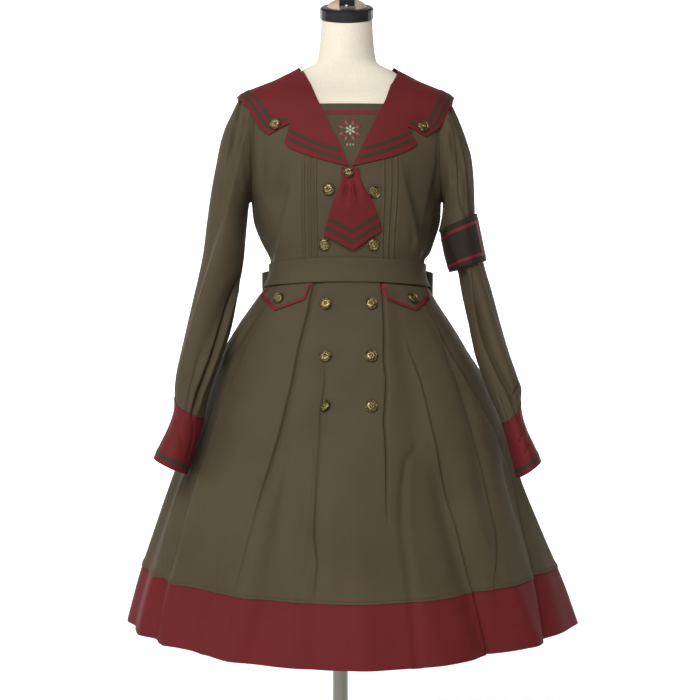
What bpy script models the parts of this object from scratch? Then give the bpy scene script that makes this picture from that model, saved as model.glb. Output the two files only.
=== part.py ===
"""Military style dress with a wide sailor collar, filled out on a limbless dress form.

The dress faces -Y, +X is to the right of someone looking at its front, and +Z is up.
The dress hangs on the shoulders of the form, which stands on a pole and a round base.
Every cloth piece is a wall between two grids of points: the outer grid lies on a surface of
the clothed figure, and the inner grid is the same points moved in by the cloth's thickness.
"""
import math

import bpy
import numpy as np

# Cloth and seams, in metres
CLOTH = 0.0012
FIRM_CLOTH = 0.0015
SEAM = 0.0003
LAYER_GAP = 0.0015
SLEEVE_GAP = 0.0006

# Heights above the floor, in metres
WAIST_SEAM = 0.990
UNDERARM = 1.108
SHOULDER_TIP = 1.290
HEM_FRONT = 0.3835
HEM_SIDE = 0.414
HEM_POWER = 2.2
HEM_BACK = 0.398
BAND_SHARE = 0.845

# Cross-sections of the figure are curves of this power, a little squarer than an ellipse
FIGURE_POWER = 2.3


def table(names, rows):
    """A short table: its columns by name, with the first column as the key."""
    columns = np.array(rows, float).T
    named = dict(zip(names.split(), columns))
    named["key"] = columns[0]
    return named


def read(source, name, at):
    """A column's value at a key, on a smooth curve through the rows that never overshoots."""
    keys = source["key"]
    values = source[name]
    steps = np.diff(keys)
    slopes = np.diff(values) / steps
    together = slopes[:-1] + slopes[1:]
    together = np.where(np.abs(together) < 1e-9, 1e-9, together)
    inner = np.where(slopes[:-1] * slopes[1:] > 0, 2 * slopes[:-1] * slopes[1:] / together, 0.0)
    tangents = np.concatenate([slopes[:1], inner, slopes[-1:]])
    at = np.clip(np.asarray(at, float), keys[0], keys[-1])
    row = np.clip(np.searchsorted(keys, at) - 1, 0, len(steps) - 1)
    step = steps[row]
    t = (at - keys[row]) / step
    start = (1 + 2 * t) * (1 - t) ** 2 * values[row] + t * (1 - t) ** 2 * step * tangents[row]
    end = t * t * (3 - 2 * t) * values[row + 1] - t * t * (1 - t) * step * tangents[row + 1]
    return start + end


def ease(low, high, at):
    """0 below the first value, 1 above the second, and a soft step between them."""
    t = np.clip((at - low) / (high - low), 0.0, 1.0)
    return t * t * (3 - 2 * t)


def wrapped(angle):
    """The same angle between minus and plus half a turn."""
    return (angle + math.pi) % (2 * math.pi) - math.pi


# The clothed figure, sleeve heads included, by height
FIGURE = table("height half_width front back centre", [
    (0.958, 0.1415, 0.1095, 0.0960, -0.0070),
    (0.975, 0.1325, 0.1060, 0.0890, -0.0065),
    (0.990, 0.1285, 0.1040, 0.0850, -0.0060),
    (1.010, 0.1295, 0.1060, 0.0870, -0.0060),
    (1.021, 0.1358, 0.1080, 0.0890, -0.0040),
    (1.043, 0.1458, 0.1120, 0.0930, -0.0057),
    (1.080, 0.1572, 0.1200, 0.1010, -0.0070),
    (1.108, 0.1590, 0.1240, 0.1050, -0.0078),
    (1.130, 0.1625, 0.1250, 0.1080, -0.0076),
    (1.156, 0.1680, 0.1235, 0.1100, -0.0075),
    (1.190, 0.1770, 0.1170, 0.1110, -0.0075),
    (1.220, 0.1830, 0.1090, 0.1100, -0.0075),
    (1.245, 0.1860, 0.1010, 0.1060, -0.0075),
    (1.262, 0.1845, 0.0940, 0.1010, -0.0085),
    (1.273, 0.1807, 0.0870, 0.0950, -0.0093),
    (1.281, 0.1748, 0.0800, 0.0880, -0.0097),
    (1.287, 0.1655, 0.0740, 0.0820, -0.0100),
    (1.290, 0.1580, 0.0710, 0.0790, -0.0100),
    (1.298, 0.1400, 0.0650, 0.0720, -0.0095),
    (1.306, 0.1208, 0.0605, 0.0660, -0.0087),
    (1.3145, 0.1045, 0.0570, 0.0615, -0.0080),
    (1.322, 0.0893, 0.0545, 0.0580, -0.0077),
    (1.3305, 0.0755, 0.0525, 0.0550, -0.0075),
    (1.338, 0.0640, 0.0510, 0.0530, -0.0075),
])

# Room between the cloth's outer face and the form inside it
FORM_ROOM = table("height side front back", [
    (0.958, 0.0160, 0.0110, 0.0110),
    (0.990, 0.0060, 0.0065, 0.0060),
    (1.080, 0.0050, 0.0060, 0.0055),
    (1.108, 0.0055, 0.0055, 0.0050),
    (1.156, 0.0095, 0.0060, 0.0050),
    (1.190, 0.0140, 0.0060, 0.0050),
    (1.245, 0.0180, 0.0060, 0.0045),
    (1.273, 0.0180, 0.0055, 0.0050),
    (1.281, 0.0145, 0.0050, 0.0050),
    (1.287, 0.0080, 0.0050, 0.0050),
    (1.290, 0.0055, 0.0050, 0.0050),
    (1.306, 0.0048, 0.0060, 0.0050),
    (1.322, 0.0042, 0.0058, 0.0048),
    (1.338, 0.0028, 0.0030, 0.0030),
])

# The form below the waist
FORM_HIPS = table("height half_width front back centre", [
    (0.745, 0.1380, 0.0880, 0.0960, -0.0120),
    (0.752, 0.1470, 0.0960, 0.1050, -0.0118),
    (0.785, 0.1580, 0.1060, 0.1180, -0.0110),
    (0.830, 0.1600, 0.1080, 0.1180, -0.0100),
    (0.880, 0.1500, 0.1060, 0.1080, -0.0090),
    (0.925, 0.1360, 0.1010, 0.0950, -0.0080),
    (0.958, 0.1260, 0.0990, 0.0850, -0.0070),
])

# The form's neck; lean is how much a ring drops towards the front
FORM_NECK = table("height half_width half_depth centre centre_y lean", [
    (1.338, 0.0556, 0.0486, -0.0075, 0.0010, 0.00),
    (1.345, 0.0500, 0.0478, -0.0074, 0.0000, 0.02),
    (1.354, 0.0478, 0.0470, -0.0073, -0.0015, 0.06),
    (1.368, 0.0460, 0.0455, -0.0072, -0.0040, 0.14),
    (1.390, 0.0440, 0.0440, -0.0071, -0.0075, 0.26),
    (1.4145, 0.0425, 0.0430, -0.0070, -0.0110, 0.40),
])
FORM_SIDES = 24

# Neck cap, pole and base
CAP_RADIUS = 0.0451
CAP_HEIGHT = 0.0190
CAP_BEVEL = 0.0030
DOME_RADIUS = 0.0330
DOME_HEIGHT = 0.0130
STRAP_WIDTH = 0.0250
STRAP_THICKNESS = 0.0025
POLE_RADIUS = 0.0125
POLE_X = -0.0178
SOCKET_RADIUS = 0.0220
SOCKET_HEIGHT = 0.0450
BASE_RADIUS = 0.1850
BASE_THICKNESS = 0.0140

# The skirt's sections, by how far down they are from the waist seam (0) to the hem (1)
SKIRT = table("drop half_width front back centre power", [
    (0.000, 0.1285, 0.1040, 0.0850, -0.0060, 2.30),
    (0.033, 0.1335, 0.1065, 0.0900, -0.0068, 2.30),
    (0.080, 0.1505, 0.1130, 0.1020, -0.0090, 2.25),
    (0.149, 0.1775, 0.1270, 0.1210, -0.0100, 2.15),
    (0.219, 0.2020, 0.1420, 0.1400, -0.0100, 2.10),
    (0.310, 0.2300, 0.1620, 0.1620, -0.0055, 2.05),
    (0.415, 0.2535, 0.1850, 0.1860, -0.0053, 2.05),
    (0.603, 0.2916, 0.2260, 0.2260, -0.0100, 2.05),
    (0.742, 0.3214, 0.2550, 0.2550, -0.0077, 2.05),
    (0.882, 0.3520, 0.2840, 0.2830, -0.0035, 2.05),
    (1.000, 0.3735, 0.3030, 0.3030, 0.0000, 2.05),
])

# Folds of the skirt: where each lies at the waist, half way down and at the hem, in degrees
# from front centre, the drops between which it shows, its width in degrees and its depth
SKIRT_FOLDS = table("waist middle hem start end width depth", [
    (-64, -64, -66, 0.05, 0.30, 4.0, -0.0050),
    (56, 66, 72, 0.12, 0.50, 4.0, -0.0045),
    (54, 51, 40, 0.08, 1.20, 4.5, -0.0065),
    (30, 32, 35, 0.42, 1.60, 4.2, -0.0150),
    (26, 26, 18, 0.10, 0.75, 5.0, -0.0040),
    (68, 70, 57, 0.40, 1.50, 4.5, -0.0100),
    (47, 44, 49, 0.45, 1.50, 5.0, 0.0090),
    (-20, -19, -22, 0.45, 1.10, 4.5, -0.0055),
    (-27, -24, -29, 0.50, 1.45, 4.0, 0.0075),
    (-8.5, -8.5, -8.5, 0.12, 1.25, 3.0, -0.0030),
    (-40, -40, -42, 0.55, 1.50, 5.0, -0.0065),
    (-52, -52, -51.5, 0.40, 1.50, 4.5, 0.0080),
    (-60, -58, -57, 0.45, 1.60, 3.2, -0.0090),
    (-66, -64, -62, 0.40, 1.50, 4.0, 0.0070),
    (-76, -75, -74, 0.40, 1.50, 4.5, -0.0080),
    (78, 80, 78, 0.35, 1.50, 5.0, 0.0060),
    (6, 3, 4, 0.60, 1.50, 5.0, 0.0050),
    (14, 16, 21, 0.65, 1.50, 5.0, 0.0055),
    (100, 103, 102, 0.30, 1.50, 5.0, -0.0080),
    (112, 114, 116, 0.25, 1.50, 5.5, 0.0070),
    (125, 128, 129, 0.30, 1.50, 5.0, -0.0100),
    (140, 142, 143, 0.15, 1.50, 5.5, 0.0080),
    (153, 155, 157, 0.10, 1.50, 5.0, -0.0100),
    (166, 169, 171, 0.20, 1.50, 5.5, 0.0070),
    (182, 183, 184, 0.35, 1.50, 5.0, -0.0070),
    (196, 197, 198, 0.15, 1.50, 5.5, 0.0080),
    (208, 209, 211, 0.10, 1.50, 5.0, -0.0110),
    (222, 223, 226, 0.25, 1.50, 5.5, 0.0070),
    (236, 238, 239, 0.20, 1.50, 5.0, -0.0090),
    (250, 252, 253, 0.35, 1.50, 5.0, 0.0070),
    (260, 262, 264, 0.30, 1.50, 4.0, -0.0070),
])

# Pressed pleats: at each the front panel stands proud of the side of the skirt by a step
PLEATS = table("waist middle hem proud step", [
    (-26.0, -22.5, -29.0, 1, 0.0050),
    (25.5, 13.5, 10.0, -1, 0.0050),
])

# The armhole is divided into as many parts as the sleeve has sides, so their edges run together
SLEEVE_SIDES = 18
ARMHOLE_MIDDLE = 0.5 * (UNDERARM + SHOULDER_TIP)
ARMHOLE_REACH = 0.5 * (SHOULDER_TIP - UNDERARM)
ARMHOLE_TURNS = np.arange(SLEEVE_SIDES) * 2 * math.pi / SLEEVE_SIDES
ARMHOLE_HEIGHTS = [float(ARMHOLE_MIDDLE + ARMHOLE_REACH * math.cos(turn))
                   for turn in ARMHOLE_TURNS[SLEEVE_SIDES // 2::-1]]
V_POINT = ARMHOLE_HEIGHTS[3]

# The armhole's edge on the bodice, as distance from the figure's centre line, by height
ARMHOLE = table("height front back", [
    (1.108, 0.1590, 0.1590),
    (1.124, 0.1570, 0.1560),
    (1.150, 0.1545, 0.1520),
    (1.187, 0.1528, 0.1495),
    (1.215, 0.1514, 0.1485),
    (1.245, 0.1508, 0.1490),
    (1.265, 0.1520, 0.1510),
    (1.278, 0.1538, 0.1533),
    (1.285, 0.1556, 0.1553),
    (1.290, 0.1580, 0.1580),
])

# The V of the neck, as x on the front of the figure, by height
V_EDGE = table("height left right", [
    (1.1534, -0.0010, -0.0010),
    (1.1550, -0.0036, 0.0014),
    (1.1910, -0.0194, 0.0194),
    (1.2620, -0.0532, 0.0548),
    (1.3120, -0.0740, 0.0742),
    (1.3240, -0.0800, 0.0789),
])
BODICE_HEIGHTS = [0.9902, 1.009, 1.016, 1.034, 1.056, 1.082] + ARMHOLE_HEIGHTS + [1.300, 1.311, 1.322]

# Pintucks: x of each at the bust and at the waist, from the middle outwards
TUCKS = {
    "left": [(-0.0593, -0.0575), (-0.0705, -0.0685), (-0.0817, -0.0795)],
    "right": [(0.0527, 0.0499), (0.0639, 0.0587), (0.0735, 0.0675)],
}
TUCK_HALF_WIDTH = 0.0016
TUCK_HEIGHT = 0.0014
SIDE_SHARES = [0.34, 0.64, 0.86, 1.0]

# Sleeves: the outer and inner ends of each ring as seen from the front, where its middle lies
# in depth, and half its depth. Station 0 is the armhole and 1 the cuff's lower edge.
SLEEVE_COLUMNS = "station outer_x outer_z inner_x inner_z y half_depth"
SLEEVES = {
    "left": table(SLEEVE_COLUMNS, [
        (0.00, -0.1670, 1.2905, -0.1668, 1.1050, 0.004, 0.060),
        (0.02, -0.1745, 1.2872, -0.1694, 1.1050, 0.004, 0.060),
        (0.05, -0.1830, 1.2800, -0.1714, 1.1030, 0.003, 0.061),
        (0.09, -0.1910, 1.2690, -0.1722, 1.0995, 0.002, 0.062),
        (0.14, -0.2000, 1.2520, -0.1726, 1.0950, 0.000, 0.063),
        (0.19, -0.2103, 1.2310, -0.1730, 1.0890, -0.002, 0.063),
        (0.24, -0.2187, 1.2050, -0.1734, 1.0815, -0.004, 0.063),
        (0.30, -0.2256, 1.1720, -0.1741, 1.0720, -0.007, 0.062),
        (0.36, -0.2340, 1.1300, -0.1752, 1.0600, -0.012, 0.061),
        (0.43, -0.2434, 1.0690, -0.1768, 1.0350, -0.018, 0.059),
        (0.50, -0.2500, 1.0170, -0.1795, 1.0030, -0.025, 0.057),
        (0.57, -0.2560, 0.9820, -0.1840, 0.9720, -0.034, 0.055),
        (0.64, -0.2633, 0.9442, -0.1890, 0.9376, -0.046, 0.053),
        (0.70, -0.2713, 0.9027, -0.1970, 0.8928, -0.060, 0.051),
        (0.76, -0.2780, 0.8600, -0.2080, 0.8540, -0.078, 0.049),
        (0.81, -0.2821, 0.8251, -0.2194, 0.8194, -0.093, 0.047),
        (0.85, -0.2832, 0.7985, -0.2282, 0.7900, -0.105, 0.044),
        (0.88, -0.2822, 0.7740, -0.2360, 0.7500, -0.116, 0.041),
        (1.00, -0.3128, 0.6886, -0.2614, 0.6634, -0.138, 0.040),
    ]),
    "right": table(SLEEVE_COLUMNS, [
        (0.00, 0.1520, 1.2905, 0.1518, 1.1050, 0.004, 0.060),
        (0.02, 0.1592, 1.2872, 0.1544, 1.1050, 0.004, 0.060),
        (0.05, 0.1670, 1.2800, 0.1564, 1.1030, 0.003, 0.061),
        (0.09, 0.1730, 1.2690, 0.1572, 1.0995, 0.001, 0.062),
        (0.14, 0.1800, 1.2520, 0.1564, 1.0950, -0.001, 0.063),
        (0.19, 0.1870, 1.2330, 0.1552, 1.0890, -0.003, 0.064),
        (0.24, 0.1945, 1.2090, 0.1534, 1.0815, -0.006, 0.064),
        (0.30, 0.2010, 1.1830, 0.1515, 1.0720, -0.010, 0.064),
        (0.36, 0.2045, 1.1405, 0.1500, 1.0600, -0.014, 0.063),
        (0.43, 0.2062, 1.0950, 0.1516, 1.0450, -0.019, 0.060),
        (0.50, 0.2120, 1.0450, 0.1620, 1.0150, -0.026, 0.057),
        (0.57, 0.2201, 1.0033, 0.1766, 0.9870, -0.034, 0.055),
        (0.64, 0.2330, 0.9550, 0.1845, 0.9450, -0.046, 0.053),
        (0.70, 0.2450, 0.9040, 0.1935, 0.9000, -0.060, 0.051),
        (0.76, 0.2575, 0.8570, 0.2020, 0.8540, -0.074, 0.049),
        (0.81, 0.2700, 0.8169, 0.2150, 0.8120, -0.088, 0.046),
        (0.85, 0.2758, 0.7950, 0.2245, 0.7860, -0.096, 0.043),
        (0.88, 0.2735, 0.7690, 0.2437, 0.7420, -0.104, 0.041),
        (1.00, 0.3035, 0.6827, 0.2665, 0.6557, -0.118, 0.040),
    ]),
}
SLEEVE_STATIONS = [0.0, 0.02, 0.05, 0.09, 0.15, 0.22, 0.30, 0.38, 0.46, 0.54, 0.62, 0.70, 0.78,
                   0.84, 0.88]
CAP_END = 0.34
CUFF_TOP = 0.880
CUFF_POINT = 0.014
CUFF_POINT_WIDTH = 0.55
CUFF_SEAM = 0.0009
CUFF_LIFT = 0.0012
CUFF_CLOTH = 0.0018

# Sleeve folds: turn round the sleeve at the start and end in degrees (0 outer side, 90 front),
# stations between which the fold shows, its width in degrees and its depth
FOLD_COLUMNS = "turn_start turn_end start end width depth"
SLEEVE_FOLDS = {
    "left": table(FOLD_COLUMNS, [
        (165, 60, 0.52, 0.90, 22, -0.0060),
        (100, 35, 0.42, 0.86, 24, 0.0040),
        (60, 70, 0.06, 0.50, 20, -0.0030),
        (25, 45, 0.06, 0.45, 18, 0.0028),
        (250, 300, 0.20, 0.75, 24, -0.0045),
        (320, 250, 0.40, 0.90, 24, -0.0040),
    ]),
    "right": table(FOLD_COLUMNS, [
        (150, 75, 0.55, 0.90, 22, -0.0055),
        (105, 40, 0.56, 0.86, 24, 0.0035),
        (72, 62, 0.06, 0.44, 14, -0.0042),
        (40, 38, 0.06, 0.40, 14, -0.0034),
        (56, 50, 0.08, 0.38, 12, 0.0030),
        (255, 300, 0.20, 0.75, 24, -0.0045),
        (320, 250, 0.42, 0.90, 24, -0.0040),
    ]),
}
ARMBAND = table(SLEEVE_COLUMNS, [
    (0.0, 0.2097, 1.0870, 0.1474, 1.0500, -0.018, 0.0671),
    (0.5, 0.2174, 1.0475, 0.1532, 1.0190, -0.026, 0.0661),
    (1.0, 0.2244, 1.0081, 0.1616, 0.9888, -0.034, 0.0631),
])

# The collar, row by row from the point of the V up to the shoulder ridge and down the back.
# Front rows give x; the ridge and the back give degrees from front centre. Each row runs from
# the neck side through the notch's line to the outer edge.
LAPELS = {
    "left": table("row inner_x inner_z outer_x outer_z", [
        (0, 0.0036, 1.1546, 0.0042, 1.1540),
        (1, 0.0080, 1.1650, 0.0354, 1.1618),
        (2, 0.0150, 1.1810, 0.0726, 1.1735),
        (3, 0.0225, 1.1985, 0.1034, 1.1887),
        (4, 0.0300, 1.2140, 0.1062, 1.1966),
        (5, 0.0370, 1.2285, 0.1016, 1.2118),
        (6, 0.0450, 1.2450, 0.0990, 1.2254),
    ]),
    "right": table("row inner_x inner_z outer_x outer_z", [
        (0, 0.0016, 1.1552, 0.0022, 1.1546),
        (1, 0.0090, 1.1680, 0.0287, 1.1605),
        (2, 0.0150, 1.1810, 0.0755, 1.1745),
        (3, 0.0235, 1.1990, 0.1057, 1.1935),
        (4, 0.0305, 1.2140, 0.1003, 1.2035),
        (5, 0.0380, 1.2290, 0.0954, 1.2104),
        (6, 0.0455, 1.2440, 0.0899, 1.2207),
    ]),
}
FLAP_COLUMNS = "row inner_x inner_z notch_x notch_z outer_x outer_z"
FRONT_FLAPS = {
    "left": table(FLAP_COLUMNS, [
        (0, 0.0450, 1.2450, 0.0990, 1.2254, 0.1328, 1.2084),
        (1, 0.0540, 1.2640, 0.1060, 1.2440, 0.1483, 1.2244),
        (2, 0.0625, 1.2840, 0.1130, 1.2630, 0.1582, 1.2420),
        (3, 0.0710, 1.3050, 0.1190, 1.2840, 0.1687, 1.2604),
    ]),
    "right": table(FLAP_COLUMNS, [
        (0, 0.0455, 1.2440, 0.0899, 1.2207, 0.1199, 1.2060),
        (1, 0.0545, 1.2620, 0.0975, 1.2410, 0.1419, 1.2246),
        (2, 0.0620, 1.2830, 0.1045, 1.2610, 0.1513, 1.2426),
        (3, 0.0700, 1.3020, 0.1100, 1.2830, 0.1593, 1.2624),
    ]),
}
BACK_FLAP = table("row inner_angle inner_z notch_angle notch_z outer_angle outer_z", [
    (4, 90, 1.3300, 90, 1.3100, 90, 1.2803),
    (5, 126, 1.3285, 112, 1.2990, 115, 1.2620),
    (6, 180, 1.3250, 142, 1.2830, 121, 1.2380),
    (7, 180, 1.2750, 150, 1.2410, 123, 1.2050),
    (8, 180, 1.2070, 150, 1.1890, 121, 1.1700),
    (9, 180, 1.1400, 149, 1.1390, 118, 1.1380),
])
FLAP_ROWS = [0, 0.5, 1, 1.5, 2, 2.5, 3, 3.25, 3.5, 3.75, 4, 4.25, 4.5, 4.75, 5, 5.5, 6, 6.5, 7,
             7.5, 8, 8.5, 9]
LAPEL_ROWS = [0, 0.5, 1, 1.5, 2, 2.5, 3, 4, 5, 6]
NECK_SHARES = [0, 0.25, 0.5, 0.75, 1]
EDGE_SHARES = [0.34, 0.67, 1]

# How much further the collar stands off on the shoulder ridge and over the sleeve heads
COLLAR_RIDGE_LIFT = 0.0012
COLLAR_SLEEVE_LIFT = 0.0050
COLLAR_BACK_LIFT = 0.0030

# Dickey and tie
DICKEY_HEIGHTS = [1.150, 1.172, 1.195, 1.218, 1.240, 1.2606]
DICKEY_LAP = 0.010
DICKEY_COLUMNS = 9
DICKEY_GAP = 0.0012
TIE = table("drop left right", [
    (0.00, -0.0155, 0.0120),
    (0.17, -0.0155, 0.0145),
    (0.52, -0.0289, 0.0327),
    (0.75, -0.0360, 0.0420),
    (1.00, -0.0433, 0.0500),
])
TIE_TOP = 1.1515
TIE_TIP = 1.0218
TIE_LEFT_CORNER = 1.0456
TIE_RIGHT_CORNER = 1.0540
TIE_TIP_SHARE = 0.49
TIE_LIFT = 0.0030

# Waistband and pocket flaps
WAISTBAND_TOP = 1.0095
WAISTBAND_BOTTOM = 0.9700
WAISTBAND_SIDE_DROP = 0.0060
WAISTBAND_CLOTH = 0.0016
POCKET_EDGE = table("angle bottom", [
    (24.8, 0.9413),
    (34.0, 0.9325),
    (44.0, 0.9232),
    (58.0, 0.9345),
    (71.0, 0.9480),
])
POCKET_COLUMNS = 10
POCKET_DROP = 0.0030
POCKET_LIFT = 0.0010

# Bow at the back
BOW_X = -0.006
BOW_Y = 0.0926
BOW_HEIGHT = 0.984
LOOP_TIP = 0.150
LOOP_DEPTH = 0.024
LOOP_WIDTH = 0.066
LOOP_ROOT_WIDTH = 0.034
LOOP_SEAT = 0.462
KNOT_WIDTH = 0.034
KNOT_HEIGHT = 0.044
KNOT_DEPTH = 0.022
TAIL_START = 0.0526
TAIL_DROP = 0.52
TAIL_LIFT = 0.0050

# Buttons: x and height on the piece that carries each, and its radius
BUTTON_RADIUS = 0.0099
SMALL_BUTTON_RADIUS = 0.0083
POCKET_BUTTON_RADIUS = 0.0090
BUTTON_HEIGHT = 0.0044
BUTTON_SIDES = 10


def section(angle, half_width, front, back, centre, power):
    """Plan of a closed section: angle 0 is front centre and a right angle is the +X side."""
    sine = np.sin(angle)
    round_part = np.clip(1.0 - np.abs(sine) ** power, 0.0, 1.0) ** (1.0 / power)
    depth = np.where(np.cos(angle) > 0, -front, back)
    return centre + half_width * sine, depth * round_part


def figure_point(angle, height):
    """Point on the clothed figure."""
    angle, height = np.broadcast_arrays(angle, height)
    sizes = [read(FIGURE, name, height) for name in ("half_width", "front", "back", "centre")]
    x, y = section(angle, *sizes, FIGURE_POWER)
    return np.stack([x, y, height], -1)


def figure_angle(x, height):
    """Angle at which the figure's front has a given x."""
    share = (x - read(FIGURE, "centre", height)) / read(FIGURE, "half_width", height)
    return np.arcsin(np.clip(share, -1.0, 1.0))


def fold_line(row_waist, row_middle, row_hem, drop):
    """Angle of a fold at a drop, on a curve through its three angles."""
    drop = np.clip(drop, 0.0, 1.0)
    upper = (1 - drop) * (1 - 2 * drop) * row_waist + 4 * drop * (1 - drop) * row_middle
    return np.radians(upper + drop * (2 * drop - 1) * row_hem)


def skirt_relief(angle, drop):
    """How far the folds and pleats push the skirt out or in."""
    relief = np.zeros(np.shape(angle))
    folds = zip(*[SKIRT_FOLDS[name] for name in
                  ("waist", "middle", "hem", "start", "end", "width", "depth")])
    for waist, middle, hem, start, end, width, depth in folds:
        away = wrapped(angle - fold_line(waist, middle, hem, drop))
        shown = ease(start, start + 0.25, drop) * (1 - ease(end - 0.25, end, drop))
        relief = relief + depth * shown * np.exp(-(away / math.radians(width)) ** 2)
    pleats = zip(*[PLEATS[name] for name in ("waist", "middle", "hem", "proud", "step")])
    for waist, middle, hem, proud, step in pleats:
        away = proud * wrapped(angle - fold_line(waist, middle, hem, drop))
        shown = ease(0.02, 0.10, drop) * (1 - ease(0.45, 0.75, drop))
        side = 0.5 * (1 + np.tanh(away / 0.03))
        reach = np.exp(-(np.maximum(away, 0) / 0.30) ** 2)
        relief = relief + step * shown * side * reach
    return relief


def hem_height(angle):
    """Height of the hem, which is higher at the sides."""
    middle = np.where(np.cos(angle) > 0, HEM_FRONT, HEM_BACK)
    return HEM_SIDE + (middle - HEM_SIDE) * np.abs(np.cos(angle)) ** HEM_POWER


def skirt_point(angle, drop):
    """Point on the skirt's outer face, from the waist seam (drop 0) to the hem (drop 1)."""
    angle, drop = np.broadcast_arrays(angle, drop)
    relief = skirt_relief(angle, drop)
    sizes = [read(SKIRT, name, drop) + relief for name in ("half_width", "front", "back")]
    x, y = section(angle, *sizes, read(SKIRT, "centre", drop), read(SKIRT, "power", drop))
    height = WAIST_SEAM + (hem_height(angle) - WAIST_SEAM) * drop
    return np.stack([x, y, height], -1)


def skirt_drop(angle, height):
    """Drop at which the skirt has a given height."""
    return (WAIST_SEAM - height) / (WAIST_SEAM - hem_height(angle))


def lifted(surface, angle, level, lift):
    """Points of a surface moved out along its normals."""
    angle, level, lift = np.broadcast_arrays(angle, level, lift)
    small = 1e-3
    along = surface(angle + small, level) - surface(angle - small, level)
    up = surface(angle, level + small) - surface(angle, level - small)
    normal = np.cross(along, up)
    normal = normal / np.linalg.norm(normal, axis=-1, keepdims=True)
    if surface is skirt_point:
        normal = -normal
    return surface(angle, level) + normal * lift[..., None]


def wall(outer, inner, closed=False):
    """Faces of a wall between two grids of points; closed joins the last column to the first."""
    rows, columns = outer.shape[:2]
    faces = []
    across = columns if closed else columns - 1
    for i in range(rows - 1):
        for j in range(across):
            k = (j + 1) % columns
            a, b, c, d = outer[i, j], outer[i, k], outer[i + 1, k], outer[i + 1, j]
            e, f, g, h = inner[i, j], inner[i, k], inner[i + 1, k], inner[i + 1, j]
            if np.linalg.norm(a - c) <= np.linalg.norm(b - d):
                faces += [(a, b, c), (a, c, d), (g, f, e), (h, g, e)]
            else:
                faces += [(a, b, d), (b, c, d), (h, f, e), (h, g, f)]
    for j in range(across):
        k = (j + 1) % columns
        faces.append((outer[0, k], outer[0, j], inner[0, j], inner[0, k]))
        faces.append((outer[-1, j], outer[-1, k], inner[-1, k], inner[-1, j]))
    if not closed:
        for i in range(rows - 1):
            faces.append((outer[i, 0], outer[i + 1, 0], inner[i + 1, 0], inner[i, 0]))
            faces.append((outer[i + 1, -1], outer[i, -1], inner[i, -1], inner[i + 1, -1]))
    return faces


def turned(profile, sides):
    """Faces of a round solid from (radius, height) points, bottom to top."""
    turns = np.arange(sides) * 2 * math.pi / sides
    rings = [np.stack([r * np.cos(turns), r * np.sin(turns), np.full(sides, z)], -1)
             for r, z in profile]
    return capped(rings)


def capped(rings):
    """Faces of a solid through rings of points, with flat ends; rings run anticlockwise."""
    faces = []
    sides = len(rings[0])
    for low, high in zip(rings[:-1], rings[1:]):
        for j in range(sides):
            k = (j + 1) % sides
            faces.append((low[j], low[k], high[k]))
            faces.append((low[j], high[k], high[j]))
    faces.append(tuple(rings[0][::-1]))
    faces.append(tuple(rings[-1]))
    return faces


def placed(faces, origin, axis):
    """Faces moved so that their +Z lies along an axis and their origin at a point."""
    axis = np.array(axis, float) / np.linalg.norm(axis)
    guide = np.array([0.0, 1.0, 0.0]) if abs(axis[1]) < 0.9 else np.array([1.0, 0.0, 0.0])
    across = np.cross(guide, axis)
    across = across / np.linalg.norm(across)
    frame = np.stack([across, np.cross(axis, across), axis])
    return [tuple(np.array(point) @ frame + origin for point in face) for face in faces]


def material(name, colour, roughness, metallic=0.0):
    """A Principled material with one colour."""
    made = bpy.data.materials.new(name)
    made.use_nodes = True
    shader = made.node_tree.nodes["Principled BSDF"]
    shader.inputs["Base Color"].default_value = (*colour, 1.0)
    shader.inputs["Roughness"].default_value = roughness
    shader.inputs["Metallic"].default_value = metallic
    return made


def solid(name, faces, finish, sharp=40):
    """One object from faces given by their corners; a face shared by two blocks vanishes."""
    numbers = {}
    points = []
    kept = {}
    for face in faces:
        corners = []
        for point in face:
            key = tuple(np.round(np.asarray(point) * 1e6).astype(int))
            if key not in numbers:
                numbers[key] = len(points)
                points.append([float(value) for value in point])
            if numbers[key] not in corners:
                corners.append(numbers[key])
        if len(corners) < 3:
            continue
        same = frozenset(corners)
        if same in kept:
            del kept[same]
        else:
            kept[same] = corners
    triangles = []
    for corners in kept.values():
        triangles += [(corners[0], corners[n], corners[n + 1]) for n in range(1, len(corners) - 1)]
    place = np.array(points)
    volume = sum(np.dot(place[a], np.cross(place[b], place[c])) for a, b, c in triangles)
    if volume < 0:
        triangles = [(a, c, b) for a, b, c in triangles]
    mesh = bpy.data.meshes.new(name)
    mesh.from_pydata(points, [], triangles)
    mesh.shade_smooth()
    mesh.set_sharp_from_angle(angle=math.radians(sharp))
    mesh.materials.append(finish)
    made = bpy.data.objects.new(name, mesh)
    bpy.context.scene.collection.objects.link(made)
    return made


def half_seam(height):
    """Half a seam's gap as an angle at the figure's side."""
    return 0.5 * SEAM / read(FIGURE, "half_width", height)


def bodice_limit(height, face):
    """Angle, from the middle of the front or back, at which a bodice panel ends."""
    if UNDERARM + SEAM < height < SHOULDER_TIP - SEAM:
        edge = read(FIGURE, "centre", height) + read(ARMHOLE, face, height)
        return figure_angle(edge, height)
    return math.pi / 2 - half_seam(height)


def tuck_columns(name, height):
    """Angles of one half of the front, from the middle line, and the share of tuck on each."""
    side = -1 if name == "left" else 1
    share = ease(1.010, 1.150, height)
    lines = [side * figure_angle(V_EDGE["left"][0], height)]
    tops = [0.0]
    for bust, waist in TUCKS[name]:
        for away in (-1, 0, 1):
            x = waist + (bust - waist) * share + side * away * TUCK_HALF_WIDTH
            lines.append(side * figure_angle(x, height))
            tops.append(float(away == 0))
    lines.insert(1, 0.5 * (lines[0] + lines[1]))
    tops.insert(1, 0.0)
    last = lines[-1]
    lines += [last + (bodice_limit(height, "front") - last) * share for share in SIDE_SHARES]
    tops += [0.0] * len(SIDE_SHARES)
    return np.array(lines), np.array(tops)


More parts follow.
